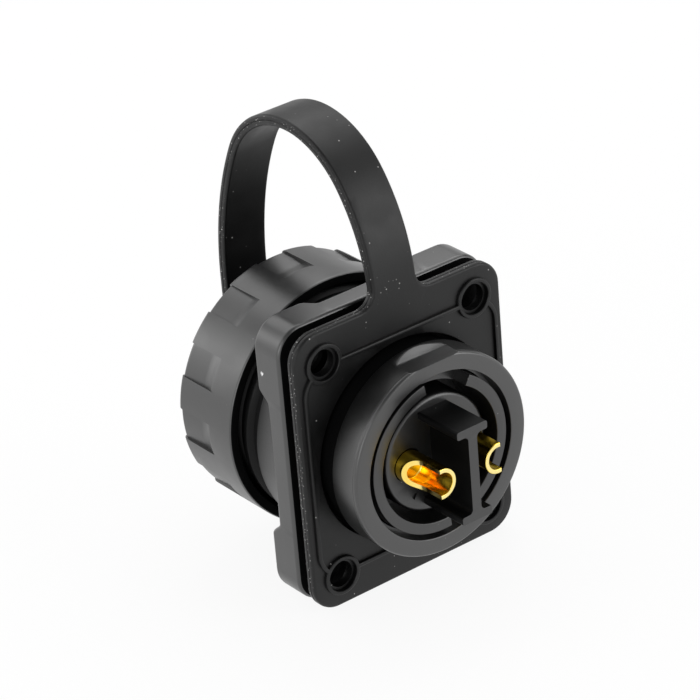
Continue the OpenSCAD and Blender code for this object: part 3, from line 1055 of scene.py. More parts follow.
@dataclass
class GasketTether(Assembly):
    """The rubber gasket with its strap and eyelet: one flat moulding, bent over the flange to the cap."""

    corner_r: float = 3.0
    rear: float = 0.35
    thickness: float = 1.2
    hole_r: float = 10.9
    screw_x: float = 9.5
    screw_z: float = 12.0
    screw_r: float = 1.71
    screw_lead: float = 0.08
    screw_lead_edge: float = 0.1
    lip_r: float = 1.42
    lip_y: float = 0.5
    rim_r: float = 2.15
    rim_edge: float = 0.14
    rib_w: float = 0.45
    rib_inset: float = 0.95
    rib_drop: float = 0.25
    rib_corner_r: float = 3.0
    rib_root: float = 0.1
    rib_edge: float = 0.12
    strap_half: float = 2.7
    strip_l: float = 0.5
    root_fillet: float = 1.8
    root_r: float = 19.0
    root_bend: float = math.radians(37)
    leg_r: float = 35.0
    leg_bend: float = math.radians(27)
    eyelet_r: float = 5.2
    eyelet_bore: float = 2.8
    edge_r: float = 0.3
    hole_edge_r: float = 0.12
    groove: float = 0.09
    margin: float = 0.05
    flex_end_gap: float = 0.1
    # Painted shade, as lost gloss, down the strap's inner face: where it starts from the crest, how far it
    # grows and its most.
    shade_start: float = 7.0
    shade_l: float = 12.0
    shade_on_leg: float = 0.85
    low: Vector = field(init=False)
    high: Vector = field(init=False)
    half_w: float = field(init=False)
    half_h: float = field(init=False)
    middle: float = field(init=False)
    leg_y: float = field(init=False)
    straight: float = field(init=False)
    strap_l: float = field(init=False)
    crest: float = field(init=False)
    bends: list[tuple[float, float, float, float, float]] = field(init=False)

    def __post_init__(self) -> None:
        """Takes the plate's size from the flange, and works out the strap's bends.

        Each bend has its centre's y and z, its radius, its first angle and the angle that it turns through.
        """
        self.low, self.high = node_box("gasket_tether")
        flange_high = node_box("flange_shell")[1]
        self.half_w, self.half_h = flange_high.x, flange_high.z
        self.middle = self.rear + self.thickness / 2
        self.leg_y = self.high.y - self.thickness / 2
        root_run = self.root_r * (1 - math.cos(self.root_bend))
        leg_run = self.leg_r * (1 - math.cos(self.leg_bend))
        top_span = self.leg_y - self.middle - root_run - leg_run
        top_r = top_span / (math.cos(self.root_bend) + math.cos(self.leg_bend))
        top_bend = math.pi - self.root_bend - self.leg_bend
        root_y, root_z = self.middle + self.root_r, self.half_h
        top_y = root_y - (self.root_r - top_r) * math.cos(self.root_bend)
        top_z = root_z + (self.root_r - top_r) * math.sin(self.root_bend)
        self.straight = top_z + (top_r - self.leg_r) * math.sin(self.leg_bend)
        leg_start = math.pi - self.leg_bend
        self.bends = [(root_y, root_z, self.root_r, 0.0, self.root_bend),
                      (top_y, top_z, top_r, self.root_bend, top_bend),
                      (self.leg_y - self.leg_r, self.straight, self.leg_r, leg_start, self.leg_bend)]
        self.strap_l = sum(r * bend for _, _, r, _, bend in self.bends) + self.straight
        self.crest = self.half_h + self.root_r * self.root_bend + top_r * top_bend / 2

    def bent(self, point: Vector) -> Vector:
        """Carries a point of the flat moulding to its place on the bent strap.

        Args:
            point: The point on the flat moulding.

        Returns:
            Its place on the part.
        """
        along, out = point.z - self.half_h, self.middle - point.y
        if along <= 0:
            return point
        for y, z, r, start, bend in self.bends:
            if along <= r * bend:
                angle = start + along / r
                return Vector((point.x, y - (r + out) * math.cos(angle), z + (r + out) * math.sin(angle)))
            along -= r * bend
        return Vector((point.x, self.leg_y + out, self.straight - along))

    def outline(self, bm: Mesh) -> None:
        """Draws the flat moulding's outline: the plate, the strap and the eyelet's round end.

        Args:
            bm: The mesh to draw in.
        """
        eye_z = self.half_h + self.strap_l
        reach = math.asin(self.strap_half / self.eyelet_r)
        neck_z = eye_z - self.eyelet_r * math.cos(reach)
        points = [(0, -self.half_h), (self.half_w, -self.half_h), (self.half_w, self.half_h),
                  (self.strap_half, self.half_h), (self.strap_half, neck_z)]
        half = draw_wire(bm, [(x, self.rear, z) for x, z in points], closed=False)
        bmesh.ops.spin(bm, geom=[half[-1]], cent=(0, self.rear, eye_z), axis=AXIS, angle=-(math.pi - reach),
                       steps=40)
        for vert in half[1:3]:
            round_corner(bm, vert, self.corner_r, CORNER_SEGMENTS)
        round_corner(bm, half[3], self.root_fillet, segments=8)
        bmesh.ops.mirror(bm, geom=bm.verts[:] + bm.edges[:], axis="X", merge_dist=0.01)

    def flat(self) -> Mesh:
        """Makes the flat moulding with its holes, its parting groove and its soft edges.

        Returns:
            The moulding, without its ribs.
        """
        bm = bmesh.new()
        self.outline(bm)
        draw_circle(bm, self.hole_r, (0, self.rear, 0), segments=128)
        draw_circle(bm, self.eyelet_bore, (0, self.rear, self.half_h + self.strap_l), segments=48)
        for x, z in four_places(self.screw_x, self.screw_z):
            draw_circle(bm, self.lip_r, (x, self.rear, z), segments=48)
        bmesh.ops.remove_doubles(bm, verts=bm.verts[:], dist=MERGE_MM)
        raised(bm, (0, self.thickness, 0))
        for y in (self.middle - self.groove, self.middle, self.middle + self.groove):
            walls = [f for f in bm.faces if is_wall(f, slope=0.5)]
            geom = list({g for f in walls for g in (*f.verts, *f.edges, f)})
            bmesh.ops.bisect_plane(bm, geom=geom, plane_co=(0, y, 0), plane_no=AXIS)
        bm.normal_update()
        for vert in bm.verts:
            if abs(vert.co.y - self.middle) < MERGE_MM and self.is_outer(vert.co):
                vert.co -= vert.normal * self.groove
        soften(bm, self.edge_r, segments=3,
               chosen=lambda e: self.on_face(e) and self.is_outer(e.verts[0].co))
        soften(bm, self.hole_edge_r, segments=2,
               chosen=lambda e: self.on_face(e) and not self.is_outer(e.verts[0].co))
        return sealed(bm)

    def on_face(self, edge: Edge) -> bool:
        """Tells whether an edge lies in the front or the rear face."""
        return all(abs(abs(v.co.y - self.middle) - self.thickness / 2) < MERGE_MM for v in edge.verts)

    def is_outer(self, place: Vector) -> bool:
        """Tells whether a place on the flat moulding is clear of every hole.

        Args:
            place: The place.

        Returns:
            Whether it is.
        """
        holes = [(0, 0, self.hole_r), (0, self.half_h + self.strap_l, self.eyelet_bore)]
        holes += [(x, z, self.lip_r) for x, z in four_places(self.screw_x, self.screw_z)]
        return all(math.hypot(place.x - x, place.z - z) > r + self.margin for x, z, r in holes)

    def from_screw(self, place: Vector) -> float:
        """Gives the distance from the nearest screw's axis."""
        return math.hypot(abs(place.x) - self.screw_x, abs(place.z) - self.screw_z)

    def rib_frame(self) -> Mesh:
        """Makes the raised rib that runs round the gasket.

        Returns:
            The rib.
        """
        bm = bmesh.new()
        sunk = self.rear + self.rib_root
        for grow in (-self.rib_w / 2, self.rib_w / 2):
            half_w, half_h = self.half_w - self.rib_inset + grow, self.screw_z - self.rib_drop + grow
            draw_rectangle(bm, half_w, half_h, sunk, self.rib_corner_r + grow)
        raised(bm, (0, self.low.y - sunk, 0))
        soften(bm, self.rib_edge, segments=2,
               chosen=lambda e: all(v.co.y < self.low.y + MERGE_MM for v in e.verts))
        return sealed(bm)

    def at_screws(self, bm: Mesh, profile: Sequence[Corner], join: Join) -> Mesh:
        """Joins a turned shape to a mesh, or cuts it from it, at each screw hole.

        Args:
            bm: The mesh, which is freed.
            profile: The turned shape's profile.
            join: Which of the two is done.

        Returns:
            The new mesh.
        """
        for x, z in four_places(self.screw_x, self.screw_z):
            bm = combined(bm, moved(turned(profile, closed=False, steps=48), (x, 0, z)), join)
        return bm

    def moulding(self) -> Mesh:
        """Makes the moulding while flat, with its rib, its raised hole rims and the lips inside them.

        Returns:
            The moulding.
        """
        sunk, top, past = self.rear + self.rib_root, self.low.y, self.low.y - PAST_MM
        rim = [Corner(0, top), Corner(self.rim_r, top, self.rim_edge),
               Corner(self.rim_r, sunk), Corner(0, sunk)]
        recess = [Corner(0, past), Corner(self.screw_r + PAST_MM, past),
                  Corner(self.screw_r, top + self.screw_lead, self.screw_lead_edge),
                  Corner(self.screw_r, self.lip_y), Corner(0, self.lip_y)]
        bm = combined(self.flat(), self.rib_frame(), Join.UNION)
        bm = self.at_screws(bm, rim, Join.UNION)
        return self.at_screws(bm, recess, Join.CUT)

    def painted_shade_share(self, face: Face, at: Vector) -> float:
        """Gives how much shade is painted on the flat moulding, as lost gloss: all of it in the holes, and
        more down the strap's inner face.

        Args:
            face: A face of the flat moulding.
            at: The place of one of its corners.

        Returns:
            The share, from 0 to 1.
        """
        middle = face.calc_center_median()
        in_screw_hole = self.from_screw(middle) < self.screw_r + 2 * self.margin and is_wall(face, slope=0.6)
        if in_screw_hole or not self.is_outer(middle):
            return 1.0
        if middle.y < self.rear + self.thickness - self.margin or at.z < self.half_h:
            return 0.0
        return min(self.shade_on_leg, max(0.0, (abs(at.z - self.crest) - self.shade_start) / self.shade_l))

    def dust_share(self, face: Face, at: Vector) -> float:
        """Gives how much dust clings to the flat moulding: all of it along its outer walls' parting groove.

        Args:
            face: A face of the flat moulding.
            at: The place of one of its corners, which makes no difference.

        Returns:
            The share, 0 or 1.
        """
        middle = face.calc_center_median()
        from_groove = abs(middle.y - self.middle)
        in_wall = is_wall(face, slope=0.8) and from_groove < self.thickness / 2 - self.edge_r / 2
        return float(in_wall and self.from_screw(middle) > self.rim_r and self.is_outer(middle))

    def build(self, finishes: Finishes) -> None:
        """Makes the moulding and bends its strap.

        Args:
            finishes: The part's finishes.
        """
        bm = self.moulding()
        for i in range(int(self.strap_l / self.strip_l)):
            bmesh.ops.bisect_plane(bm, geom=everything(bm), plane_co=(0, 0, self.half_h + i * self.strip_l),
                                   plane_no=(0, 0, 1))
        # Shade is painted in the holes and down the strap's inner face as lost gloss.
        marked(bm, Trait.PAINTED_SHADE, self.painted_shade_share)
        marked(bm, Trait.DUST, self.dust_share)
        for vert in bm.verts:
            vert.co = self.bent(vert.co)
        bm.normal_update()
        piece = finishes.publish("gasket_moulding", bm, Slot.GASKET)
        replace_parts(piece, "gasket_tether")
        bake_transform(piece)


@dataclass
class Insulator(Assembly):
    """The insulator that carries the contacts, with the I-shaped barrier between the solder cups."""

    boss_r: float = 6.35
    boss_y: float = -4.15
    boss_edge: float = 0.45
    shoulder_r: float = 8.5
    shoulder_y: tuple[float, float] = (0.75, 2.95)
    spigot_r: float = 6.7
    spigot_edge: float = 0.3
    contact_x: float = 3.55
    cup_hole_r: float = 1.75
    socket_hole_r: float = 2.18
    socket_l: float = 9.0
    barrier_half_h: float = 5.25
    barrier_sunk: float = 0.4
    barrier_edge: float = 0.24
    barrier_end_edge: float = 0.13
    web_half: float = 0.55
    web_fillet: float = 0.5
    flange_half: float = 1.9
    flange_t: float = 0.9
    mark_place: tuple[float, float] = (-3.1, -3.75)
    mark_size: float = 0.45
    mark_depth: float = 0.2
    # Painted shade, as lost gloss, on the barrier's sides and in the holes, and how far in from the boss's
    # edge it starts.
    shade_on_sides: float = 0.88
    shade_inset: float = 0.5
    low: Vector = field(init=False)
    high: Vector = field(init=False)
    step_y: float = field(init=False)

    def __post_init__(self) -> None:
        """Takes the insulator's ends, and the step in its contacts' holes, from the frame."""
        self.low, self.high = node_box("contact_insert")
        self.step_y = node_box("contact_left")[1].y - self.socket_l

    def core(self) -> Mesh:
        """Makes the round core: the boss, the shoulder and the spigot.

        Returns:
            The core.
        """
        shoulder_rear, shoulder_front = self.shoulder_y
        return turned([
            Corner(0, self.boss_y),
            Corner(self.boss_r, self.boss_y, self.boss_edge),
            Corner(self.boss_r, shoulder_rear),
            Corner(self.shoulder_r, shoulder_rear),
            Corner(self.shoulder_r, shoulder_front),
            Corner(self.spigot_r, shoulder_front),
            Corner(self.spigot_r, self.high.y, self.spigot_edge),
            Corner(0, self.high.y),
        ], closed=False)

    def barrier(self) -> Mesh:
        """Makes the barrier's I-section, with rounded flange ends and fillets at its web.

        Returns:
            The barrier.
        """
        bm = bmesh.new()
        f, w, h = self.flange_half, self.web_half, self.barrier_half_h
        inner = h - self.flange_t
        outline = [(-f, -h), (f, -h), (f, -inner), (w, -inner), (w, inner), (f, inner), (f, h), (-f, h),
                   (-f, inner), (-w, inner), (-w, -inner), (-f, -inner)]
        verts = draw_wire(bm, [(x, self.low.y, z) for x, z in outline], closed=True)
        for vert, (x, _) in zip(verts, outline):
            round_corner(bm, vert, self.web_fillet if abs(x) == w else self.barrier_edge, segments=4)
        raised(bm, (0, self.boss_y + self.barrier_sunk - self.low.y, 0))
        soften(bm, self.barrier_end_edge, segments=3,
               chosen=lambda e: all(v.co.y < self.low.y + MERGE_MM for v in e.verts))
        return sealed(bm)

    def contact_hole(self, side: int) -> Mesh:
        """Makes the cutter of one contact's stepped hole.

        Args:
            side: Which contact it is for, -1 for the left one or 1 for the right one.

        Returns:
            The cutter.
        """
        start, end = self.boss_y - PAST_MM, self.high.y + PAST_MM
        hole = turned([
            Corner(0, start),
            Corner(self.cup_hole_r, start),
            Corner(self.cup_hole_r, self.step_y),
            Corner(self.socket_hole_r, self.step_y),
            Corner(self.socket_hole_r, end),
            Corner(0, end),
        ], closed=False, steps=64)
        return moved(hole, (side * self.contact_x, 0, 0))

    def polarity_mark(self) -> Mesh:
        """Makes the cutter of the small triangle that is sunk in the boss below the left cup.

        Returns:
            The cutter.
        """
        bm = bmesh.new()
        x, z = self.mark_place
        tip, base = self.mark_size, self.mark_size * 0.6
        points = [(x - tip, z + base), (x + tip, z + base), (x, z - tip)]
        draw_wire(bm, [(across, self.boss_y - PAST_MM, up) for across, up in points], closed=True)
        return raised(bm, (0, PAST_MM + self.mark_depth, 0))

    def painted_shade_share(self, face: Face, at: Vector) -> float:
        """Gives how much shade is painted on the insulator, as lost gloss: mostly on the barrier's sides and
        in the holes.
        """
        within = max(abs(at.x), abs(at.z)) < self.boss_r - self.shade_inset
        return self.shade_on_sides if within and is_wall(face, slope=0.5) else 0.0

    def build(self, finishes: Finishes) -> None:
        """Makes the insulator.

        Args:
            finishes: The part's finishes.
        """
        bm = combined(self.core(), self.barrier(), Join.UNION)
        for cutter in (self.contact_hole(-1), self.contact_hole(1), self.polarity_mark()):
            bm = combined(bm, cutter, Join.CUT)
        # Shade is painted on the barrier's sides and in the holes as lost gloss.
        marked(bm, Trait.PAINTED_SHADE, self.painted_shade_share)
        finishes.fit("insulator_moulding", bm, Slot.INSERT, Body.HOUSING, "contact_insert")


@dataclass
class SolderContact(Assembly):
    """One turned contact: a solder cup with its side cut away, and a slit socket at the mating end."""

    side: int
    x: float = 3.55
    cup_r: float = 1.67
    cup_edge: float = 0.09
    cup_bore: float = 1.22
    cup_bore_edge: float = 0.06
    cup_floor: float = -4.75
    cup_floor_fillet: float = 0.2
    socket_r: float = 2.1
    socket_bore: float = 1.25
    socket_l: float = 9.0
    socket_web: float = 0.6
    socket_edge: float = 0.15
    step_edge: float = 0.1
    cut_x: float = 0.284
    cut_l: float = 4.4
    cutter_r: float = 2.5
    cutter_past: float = 0.3
    slit_w: float = 0.4
    slit_l: float = 6.3
    node: str = field(init=False)
    rear: float = field(init=False)
    front: float = field(init=False)

    def __post_init__(self) -> None:
        """Takes the contact's ends from the frame."""
        self.node = "contact_left" if self.side < 0 else "contact_right"
        low, high = node_box(self.node)
        self.rear, self.front = low.y, high.y

    def turning(self) -> Mesh:
        """Makes the contact before its cuts, with lightly broken edges.

        Returns:
            The turning.
        """
        step_y = self.front - self.socket_l
        socket_floor = step_y + self.socket_web
        return turned([
            Corner(0, self.cup_floor),
            Corner(self.cup_bore, self.cup_floor, self.cup_floor_fillet),
            Corner(self.cup_bore, self.rear, self.cup_bore_edge),
            Corner(self.cup_r, self.rear, self.cup_edge),
            Corner(self.cup_r, step_y),
            Corner(self.socket_r, step_y, self.step_edge),
            Corner(self.socket_r, self.front, self.socket_edge),
            Corner(self.socket_bore, self.front, self.socket_edge),
            Corner(self.socket_bore, socket_floor),
            Corner(0, socket_floor),
        ], closed=False, steps=72)

    def cutter(self) -> Mesh:
        """Makes the round cutter's path: flat along the cup, then curving out of its side.

        Returns:
            The cutter.
        """
        bm = bmesh.new()
        lift = self.cup_r - self.cut_x
        run_out = math.sqrt(self.cutter_r ** 2 - (self.cutter_r - lift) ** 2)
        start, flat_end = self.rear - PAST_MM, self.rear + self.cut_l - run_out
        wide = 2 * self.cup_r
        points = [(wide, start, -wide), (self.cut_x, start, -wide), (self.cut_x, flat_end, -wide)]
        path = draw_wire(bm, points, closed=False)
        swing = math.acos((self.cutter_r - lift - self.cutter_past) / self.cutter_r)
        arc = bmesh.ops.spin(bm, geom=[path[-1]], cent=(self.cut_x + self.cutter_r, flat_end, -wide),
                             axis=(0, 0, -1), angle=swing, steps=16)
        last = only(Vert, arc["geom_last"])[0]
        corner = bm.verts.new((wide, last.co.y, -wide))
        bm.edges.new((last, corner))
        bm.edges.new((corner, path[0]))
        return raised(bm, (0, 0, 2 * wide))

    def painted_gold_shade_share(self, face: Face, at: Vector) -> float:
        """Gives the share of painted gold shade: all of it on the walls and in the cup, none on the cut
        rims, which keep the painted highlight.

        Args:
            face: A face of the contact.
            at: The place of one of its corners, which makes no difference.

        Returns:
            The share, from 0 to 1.
        """
        middle = face.calc_center_median()
        out = Vector((middle.x - self.side * self.x, 0, middle.z))
        cup_floor_r = 0.9 * self.cup_bore
        if out.length < cup_floor_r:
            return 1.0
        return abs(face.normal.dot(out.normalized()))

    def build(self, finishes: Finishes) -> None:
        """Makes the contact with its cup open outwards.

        Args:
            finishes: The part's finishes.
        """
        bm = combined(self.turning(), self.cutter(), Join.CUT)
        start, end = self.front - self.slit_l, self.front + PAST_MM
        for x, z in ((self.socket_r * 2, self.slit_w / 2), (self.slit_w / 2, self.socket_r * 2)):
            bm = combined(bm, block((-x, start, -z), (x, end, z)), Join.CUT)
        bmesh.ops.scale(bm, vec=(self.side, 1, 1), verts=bm.verts[:])
        moved(bm, (self.side * self.x, 0, 0))
        bmesh.ops.recalc_face_normals(bm, faces=bm.faces[:])
        # The deeper gold is painted on walls and in the cup as shade; rims keep the paler painted highlight.
        marked(bm, Trait.PAINTED_GOLD_SHADE, self.painted_gold_shade_share)
        finishes.fit("cup_" + self.node, bm, Slot.CONTACT, Body.HOUSING, self.node)


@dataclass
class RetainingRing(Assembly):
    """The ring in the rear barrel that holds the insulator, with two slots for its driver."""

    bore_r: float = 7.3
    edge_r: float = 0.12
    slot_depth: float = 2.0
    slots: tuple[tuple[float, float], ...] = ((80.0, 40.0), (-71.0, 28.0))
    rear: float = field(init=False)
    front: float = field(init=False)
    outer_r: float = field(init=False)

    def __post_init__(self) -> None:
        """Takes the ring's size from the frame."""
        low, high = node_box("retaining_ring")
        self.rear, self.front, self.outer_r = low.y, high.y, high.x

    def slot(self, middle: float, width: float) -> Mesh:
        """Makes the cutter of one slot, a wedge from the axis.

        Args:
            middle: The angle of the slot's middle in degrees.
            width: The angle across it in degrees.

        Returns:
            The cutter.
        """
        bm = bmesh.new()
        reach, start = 2 * self.outer_r, self.rear - PAST_MM
        angles = [math.radians(middle + share * width) for share in (-0.5, 0.0, 0.5)]
        points = [(reach * math.cos(a), start, reach * math.sin(a)) for a in angles]
        draw_wire(bm, [(0, start, 0), *points], closed=True)
        return raised(bm, (0, self.slot_depth + PAST_MM, 0))

    def build(self, finishes: Finishes) -> None:
        """Makes the ring, turned by half a step so that no slot's side falls on a mesh edge.

        Args:
            finishes: The part's finishes.
        """
        bm = turned([
            Corner(self.bore_r, self.rear, self.edge_r),
            Corner(self.outer_r, self.rear, self.edge_r),
            Corner(self.outer_r, self.front),
            Corner(self.bore_r, self.front),
        ], closed=True)
        twisted(bm, FULL_TURN / TURN_STEPS / 2)
        for middle, width in self.slots:
            bm = combined(bm, self.slot(middle, width), Join.CUT)
        finishes.fit("slotted_ring", bm, Slot.INSERT, Body.HOUSING, "retaining_ring")


@dataclass
class DustCap(Assembly):
    """The screwed cap: a cup with twelve grip pockets, and a hub for the tether's swivel."""

    bore_r: float = 12.55
    bore_edge: float = 0.2
    rim_edge: float = 0.25
    end_t: float = 2.0
    edge_r: float = 0.5
    join_in: float = 0.3
    pockets: int = 12
    pocket_angle: float = math.radians(15)
    first_pocket: float = math.radians(3.3)
    pocket_l: float = 5.4
    pocket_depth: float = 0.4
    pocket_end_depth: float = 0.2
    pocket_slope: float = 1.3
    pocket_floor_r: float = 4.0
    pocket_edge_r: float = 0.13
    sector_steps: int = 12
    hub_root_r: float = 6.0
    hub_fillet: float = 0.5
    hub_r: float = 4.5
    hub_edge: float = 0.35
    pilot_r: float = 1.33
    pilot_web: float = 0.5
    margin: float = 0.1
    rim_y: float = field(init=False)
    hub_y: float = field(init=False)
    outer_r: float = field(init=False)
    inner_y: float = field(init=False)
    end_y: float = field(init=False)
    grip_y: float = field(init=False)
    join_r: float = field(init=False)

    def __post_init__(self) -> None:
        """Takes the cap's size from the frame."""
        low, high = node_box("cap_shell")
        self.rim_y, self.hub_y, self.outer_r = low.y, high.y, high.x
        self.inner_y = node_box("cap_seal")[1].y
        self.end_y = self.inner_y + self.end_t
        self.grip_y = self.end_y - self.pocket_l
        self.join_r = self.outer_r - self.pocket_depth - self.edge_r - self.join_in

    def sector(self, bm: Mesh) -> None:
        """Makes one land and one pocket of the grip, with the radial walls between them.

        Args:
            bm: The mesh to draw in.
        """
        land = [(self.outer_r, self.grip_y), (self.outer_r, self.end_y), (self.join_r, self.end_y)]
        dip = [(self.outer_r, self.grip_y),
               (self.outer_r - self.pocket_depth, self.grip_y + self.pocket_slope),
               (self.outer_r - self.pocket_end_depth, self.end_y), (self.join_r, self.end_y)]
        wires = []
        for points in (land, dip):
            verts = draw_wire(bm, [(r, y, 0) for r, y in points], closed=False)
            ends = (verts[0], verts[-1])
            round_corner(bm, verts[-2], self.edge_r)
            if points is dip:
                round_corner(bm, verts[1], self.pocket_floor_r)
            wires.append(self.chain(*ends))
        bm.faces.new(wires[0] + wires[1][-2:0:-1])
        second = bmesh.ops.duplicate(bm, geom=bm.faces[:])["geom"]
        bmesh.ops.rotate(bm, verts=only(Vert, second), cent=ORIGIN,
                         matrix=Matrix.Rotation(self.pocket_angle, 3, AXIS))
        for wire, angle in zip(wires, (self.pocket_angle, -self.pocket_angle)):
            edges = [bm.edges.get(pair) for pair in zip(wire, wire[1:])]
            bmesh.ops.spin(bm, geom=wire + edges, cent=ORIGIN, axis=AXIS, angle=angle,
                           steps=self.sector_steps)

    @staticmethod
    def chain(first: Vert, last: Vert) -> list[Vert]:
        """Lists a wire's vertices from one end to the other.

        Args:
            first: The vertex at one end.
            last: The vertex at the other end.

        Returns:
            The vertices, in order.
        """
        found, edge = [first], first.link_edges[0]
        while found[-1] is not last:
            found.append(edge.other_vert(found[-1]))
            onward = [e for e in found[-1].link_edges if e is not edge]
            edge = onward[0] if onward else edge
        return found

    def on_grip(self, edge: Edge) -> bool:
        """Tells whether an edge belongs to the grip's pockets.

        Args:
            edge: The edge.

        Returns:
            Whether it does.
        """
        inner = self.join_r + self.join_in
        low, high = self.grip_y + self.margin, self.end_y - self.margin
        return all(math.hypot(v.co.x, v.co.z) > inner and low < v.co.y < high for v in edge.verts)

    def painted_shade_share(self, face: Face, at: Vector) -> float:
        """Gives how much shade is painted on the cap, as lost gloss: all of it on the rim's face and in the
        bore.

        Args:
            face: A face of the cap.
            at: The place of one of its corners, which makes no difference.

        Returns:
            The share, 0 or 1.
        """
        middle = face.calc_center_median()
        in_bore = math.hypot(middle.x, middle.z) < self.bore_r + self.margin and middle.y < self.inner_y
        return float(in_bore or middle.y < self.rim_y + self.margin / 2)

    def build(self, finishes: Finishes) -> None:
        """Makes the cap: its grip, then the turned surfaces inside and at the end.

        Args:
            finishes: The part's finishes.
        """
        phase = self.pocket_angle / 2 - self.first_pocket
        pilot_floor = self.inner_y + self.pilot_web
        bm = bmesh.new()
        self.sector(bm)
        bmesh.ops.spin(bm, geom=everything(bm), cent=ORIGIN, axis=AXIS, angle=FULL_TURN, steps=self.pockets,
                       use_duplicate=True, use_merge=True)
        twisted(bm, phase)
        inside = [Corner(0, self.inner_y), Corner(self.bore_r, self.inner_y, self.bore_edge),
                  Corner(self.bore_r, self.rim_y, self.bore_edge),
                  Corner(self.outer_r, self.rim_y, self.rim_edge), Corner(self.outer_r, self.grip_y)]
        outside = [Corner(self.join_r, self.end_y), Corner(self.hub_root_r, self.end_y, self.hub_fillet),
                   Corner(self.hub_r, self.hub_y, self.hub_edge), Corner(self.pilot_r, self.hub_y),
                   Corner(self.pilot_r, pilot_floor), Corner(0, pilot_floor)]
        for corners in (inside, outside):
            surface = turned(corners, closed=False, steps=2 * self.pockets * self.sector_steps)
            absorb(bm, twisted(surface, phase))
        sealed(bm)
        soften(bm, self.pocket_edge_r, segments=3, chosen=lambda e: e.is_convex and self.on_grip(e))
        # Shade is painted on the rim's face and in the bore as lost gloss.
        marked(sealed(bm), Trait.PAINTED_SHADE, self.painted_shade_share)
        finishes.fit("cap_moulding", bm, Slot.CAP, Body.CAP, "cap_shell")


@dataclass
class Swivel(Assembly):
    """The shoulder screw and the washer on which the tether's eyelet turns."""

    shoulder_r: float = 2.5
    shoulder_edge: float = 0.1
    shank_r: float = 1.25
    shank_edge: float = 0.3
    head_gap: float = 0.1
    head_edge: float = 0.12
    head_crown: float = 0.6
    slot_w: float = 0.9
    slot_depth: float = 0.7
    washer_gap: float = 0.06
    washer_edge: float = 0.12
    washer_bore_edge: float = 0.08

    def screw(self) -> Mesh:
        """Makes the shoulder screw with its driver slot.

        Returns:
            The screw.
        """
        low, high = node_box("tether_screw")
        hub_y, head_y = node_box("cap_shell")[1].y, node_box("tether_washer")[1].y + self.head_gap
        bm = turned([
            Corner(0, low.y),
            Corner(self.shank_r, low.y, self.shank_edge),
            Corner(self.shank_r, hub_y),
            Corner(self.shoulder_r, hub_y, self.shoulder_edge),
            Corner(self.shoulder_r, head_y),
            Corner(high.x, head_y, self.head_edge),
            Corner(high.x, high.y, self.head_crown),
            Corner(0, high.y),
        ], closed=False, steps=96)
        slot = block((-2 * high.x, high.y - self.slot_depth, -self.slot_w / 2),
                     (2 * high.x, high.y + PAST_MM, self.slot_w / 2))
        return combined(bm, slot, Join.CUT)

    def washer(self) -> Mesh:
        """Makes the washer.

        Returns:
            The washer.
        """
        low, high = node_box("tether_washer")
        bore = self.shoulder_r + self.washer_gap
        return turned([
            Corner(bore, low.y, self.washer_bore_edge),
            Corner(high.x, low.y, self.washer_edge),
            Corner(high.x, high.y, self.washer_edge),
            Corner(bore, high.y, self.washer_bore_edge),
        ], closed=True, steps=96)

    def build(self, finishes: Finishes) -> None:
        """Makes both pieces."""
        finishes.fit("shoulder_screw", self.screw(), Slot.SWIVEL, Body.CAP, "tether_screw")
        finishes.fit("swivel_washer", self.washer(), Slot.SWIVEL, Body.SWIVEL, "tether_washer")


@dataclass(frozen=True)
class SoftBox:
    """A square soft light: its name, its place and width in metres, and its power in watts."""

    name: str
    place: Place
    width: float
    power: float

    def hang(self) -> None:
        """Hangs the light so that it faces the part."""
        data = bpy.data.lights.new(self.name, "AREA")
        data.size = self.width
        data.energy = self.power
        lamp = bpy.data.objects.new(self.name, data)
        lamp.location = self.place
        lamp.rotation_euler = (-Vector(self.place)).to_track_quat("-Z", "Y").to_euler()
        bpy.context.scene.collection.objects.link(lamp)


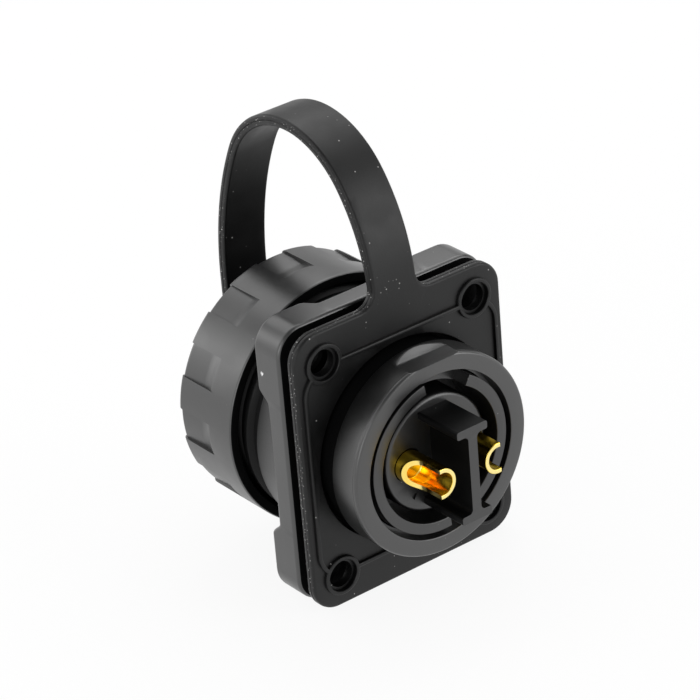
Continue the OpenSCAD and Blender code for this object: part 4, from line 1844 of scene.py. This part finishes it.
@dataclass
class Studio:
    """The camera at the photograph's angle, a pale floor and soft light."""

    azimuth: float = math.radians(-37.0)
    elevation: float = math.radians(29.5)
    roll: float = math.radians(-4.4)
    focal_px: float = 3500.0
    image_px: float = 700.0
    px_per_mm: float = 10.02
    aim_px: tuple[float, float] = (407.2, 436.3)
    aim_y: float = 0.35
    sensor: float = 36.0
    clip: tuple[float, float] = (0.01, 20.0)
    glow_heights: tuple[float, float] = (0.12, 0.42)
    glow_strengths: tuple[float, float] = (1.0, 0.3)
    floor_half: float = 3.0
    floor_drop: float = 0.05
    floor_tone: float = 0.9
    floor_roughness: float = 0.8
    floor_glow: float = 0.9
    lights: tuple[SoftBox, ...] = (
        SoftBox("left_box", (-0.8, 0.6, 0.7), 0.9, 3.3),
        SoftBox("low_box", (-0.5, 1.1, 0.2), 0.7, 2.0),
        SoftBox("back_box", (0.2, 0.75, 0.95), 1.0, 4.2),
        SoftBox("front_box", (0.8, -1.0, 0.35), 0.9, 6.4),
        SoftBox("high_box", (0.6, -0.5, 0.75), 0.9, 1.0),
        SoftBox("top_box", (0.6, 0.28, 0.82), 0.8, 3.6),
        SoftBox("cup_box", (-1.0, -0.5, 0.4), 0.8, 3.8),
    )

    def camera(self) -> None:
        """Makes the camera so that the gasket's middle falls on its pixel in the photograph."""
        a, e = self.azimuth, self.elevation
        back = Vector((math.sin(a) * math.cos(e), -math.cos(a) * math.cos(e), math.sin(e)))
        level = Vector((math.cos(a), math.sin(a), 0))
        upright = back.cross(level)
        right = level * math.cos(self.roll) + upright * math.sin(self.roll)
        up = upright * math.cos(self.roll) - level * math.sin(self.roll)
        off_x, off_y = (p - self.image_px / 2 for p in self.aim_px)
        forward = (-back * self.focal_px - right * off_x + up * off_y).normalized()
        up = (up - forward * up.dot(forward)).normalized()
        right = forward.cross(up)
        data = bpy.data.cameras.new("camera")
        data.sensor_width = self.sensor
        data.lens = self.sensor * self.focal_px / self.image_px
        data.clip_start, data.clip_end = self.clip
        camera = bpy.data.objects.new("camera", data)
        place = AXIS * self.aim_y * MM + back * (self.focal_px / self.px_per_mm * MM)
        turn = Matrix((right, up, -forward)).transposed().to_4x4()
        camera.matrix_world = Matrix.Translation(place) @ turn
        bpy.context.scene.collection.objects.link(camera)
        bpy.context.scene.camera = camera

    def world(self) -> None:
        """Makes the surroundings: white at the horizon, and dimmer higher up."""
        world = bpy.data.worlds.new("surroundings")
        world.use_nodes = True
        nodes, links = world.node_tree.nodes, world.node_tree.links
        kinds = ("TexCoord", "SeparateXYZ", "MapRange")
        place, parts, fall = (nodes.new("ShaderNode" + kind) for kind in kinds)
        light = nodes["Background"]
        light.inputs["Color"].default_value = grey(1.0)
        names = ("From Min", "From Max", "To Min", "To Max")
        for name, value in zip(names, self.glow_heights + self.glow_strengths):
            fall.inputs[name].default_value = value
        links.new(place.outputs["Generated"], parts.inputs[0])
        links.new(parts.outputs["Z"], fall.inputs["Value"])
        links.new(fall.outputs["Result"], light.inputs["Strength"])
        bpy.context.scene.world = world

    def floor(self) -> None:
        """Makes the pale floor just under the part: near white to the camera, with a soft shadow."""
        bm = bmesh.new()
        bmesh.ops.create_grid(bm, x_segments=1, y_segments=1, size=self.floor_half)
        piece = loose_object("floor", moved(bm, (0, 0, CAD_BOX[0].z - self.floor_drop * MM)))
        w = Wiring("floor")
        w.shader.inputs["Base Color"].default_value = grey(self.floor_tone)
        w.shader.inputs["Roughness"].default_value = self.floor_roughness
        white = w.add("Emission", {"Color": grey(1.0), "Strength": 1.0}).outputs["Emission"]
        rays = w.add("LightPath", {}).outputs
        seen = w.maths("MAXIMUM", rays["Is Camera Ray"], rays["Is Glossy Ray"])
        seen = w.maths("MAXIMUM", seen, rays["Is Transmission Ray"])
        share = w.maths("MULTIPLY", seen, self.floor_glow)
        mixed = w.add("MixShader", {0: share, 1: w.shader.outputs[0], 2: white})
        w.tree.links.new(mixed.outputs[0], w.tree.nodes["Material Output"].inputs["Surface"])
        piece.data.materials.append(w.material)

    def build(self) -> None:
        """Sets the scene."""
        self.camera()
        self.world()
        for light in self.lights:
            light.hang()
        self.floor()
        bpy.context.scene.view_settings.view_transform = "Standard"


def main() -> None:
    """Sets the studio, builds every sub-assembly in order, and dresses the two seals."""
    logging.basicConfig(level=logging.INFO, format="%(message)s")
    Studio().build()
    finishes = Finishes()
    assemblies: list[Assembly] = [FlangeShell(), GasketTether(), Insulator(), SolderContact(-1),
                                  SolderContact(1), RetainingRing(), DustCap(), Swivel()]
    for assembly in assemblies:
        assembly.build(finishes)
    for node in ("insert_seal", "cap_seal"):
        finishes.dress(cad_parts[node], Slot.SEAL)


if __name__ == "__main__":
    main()
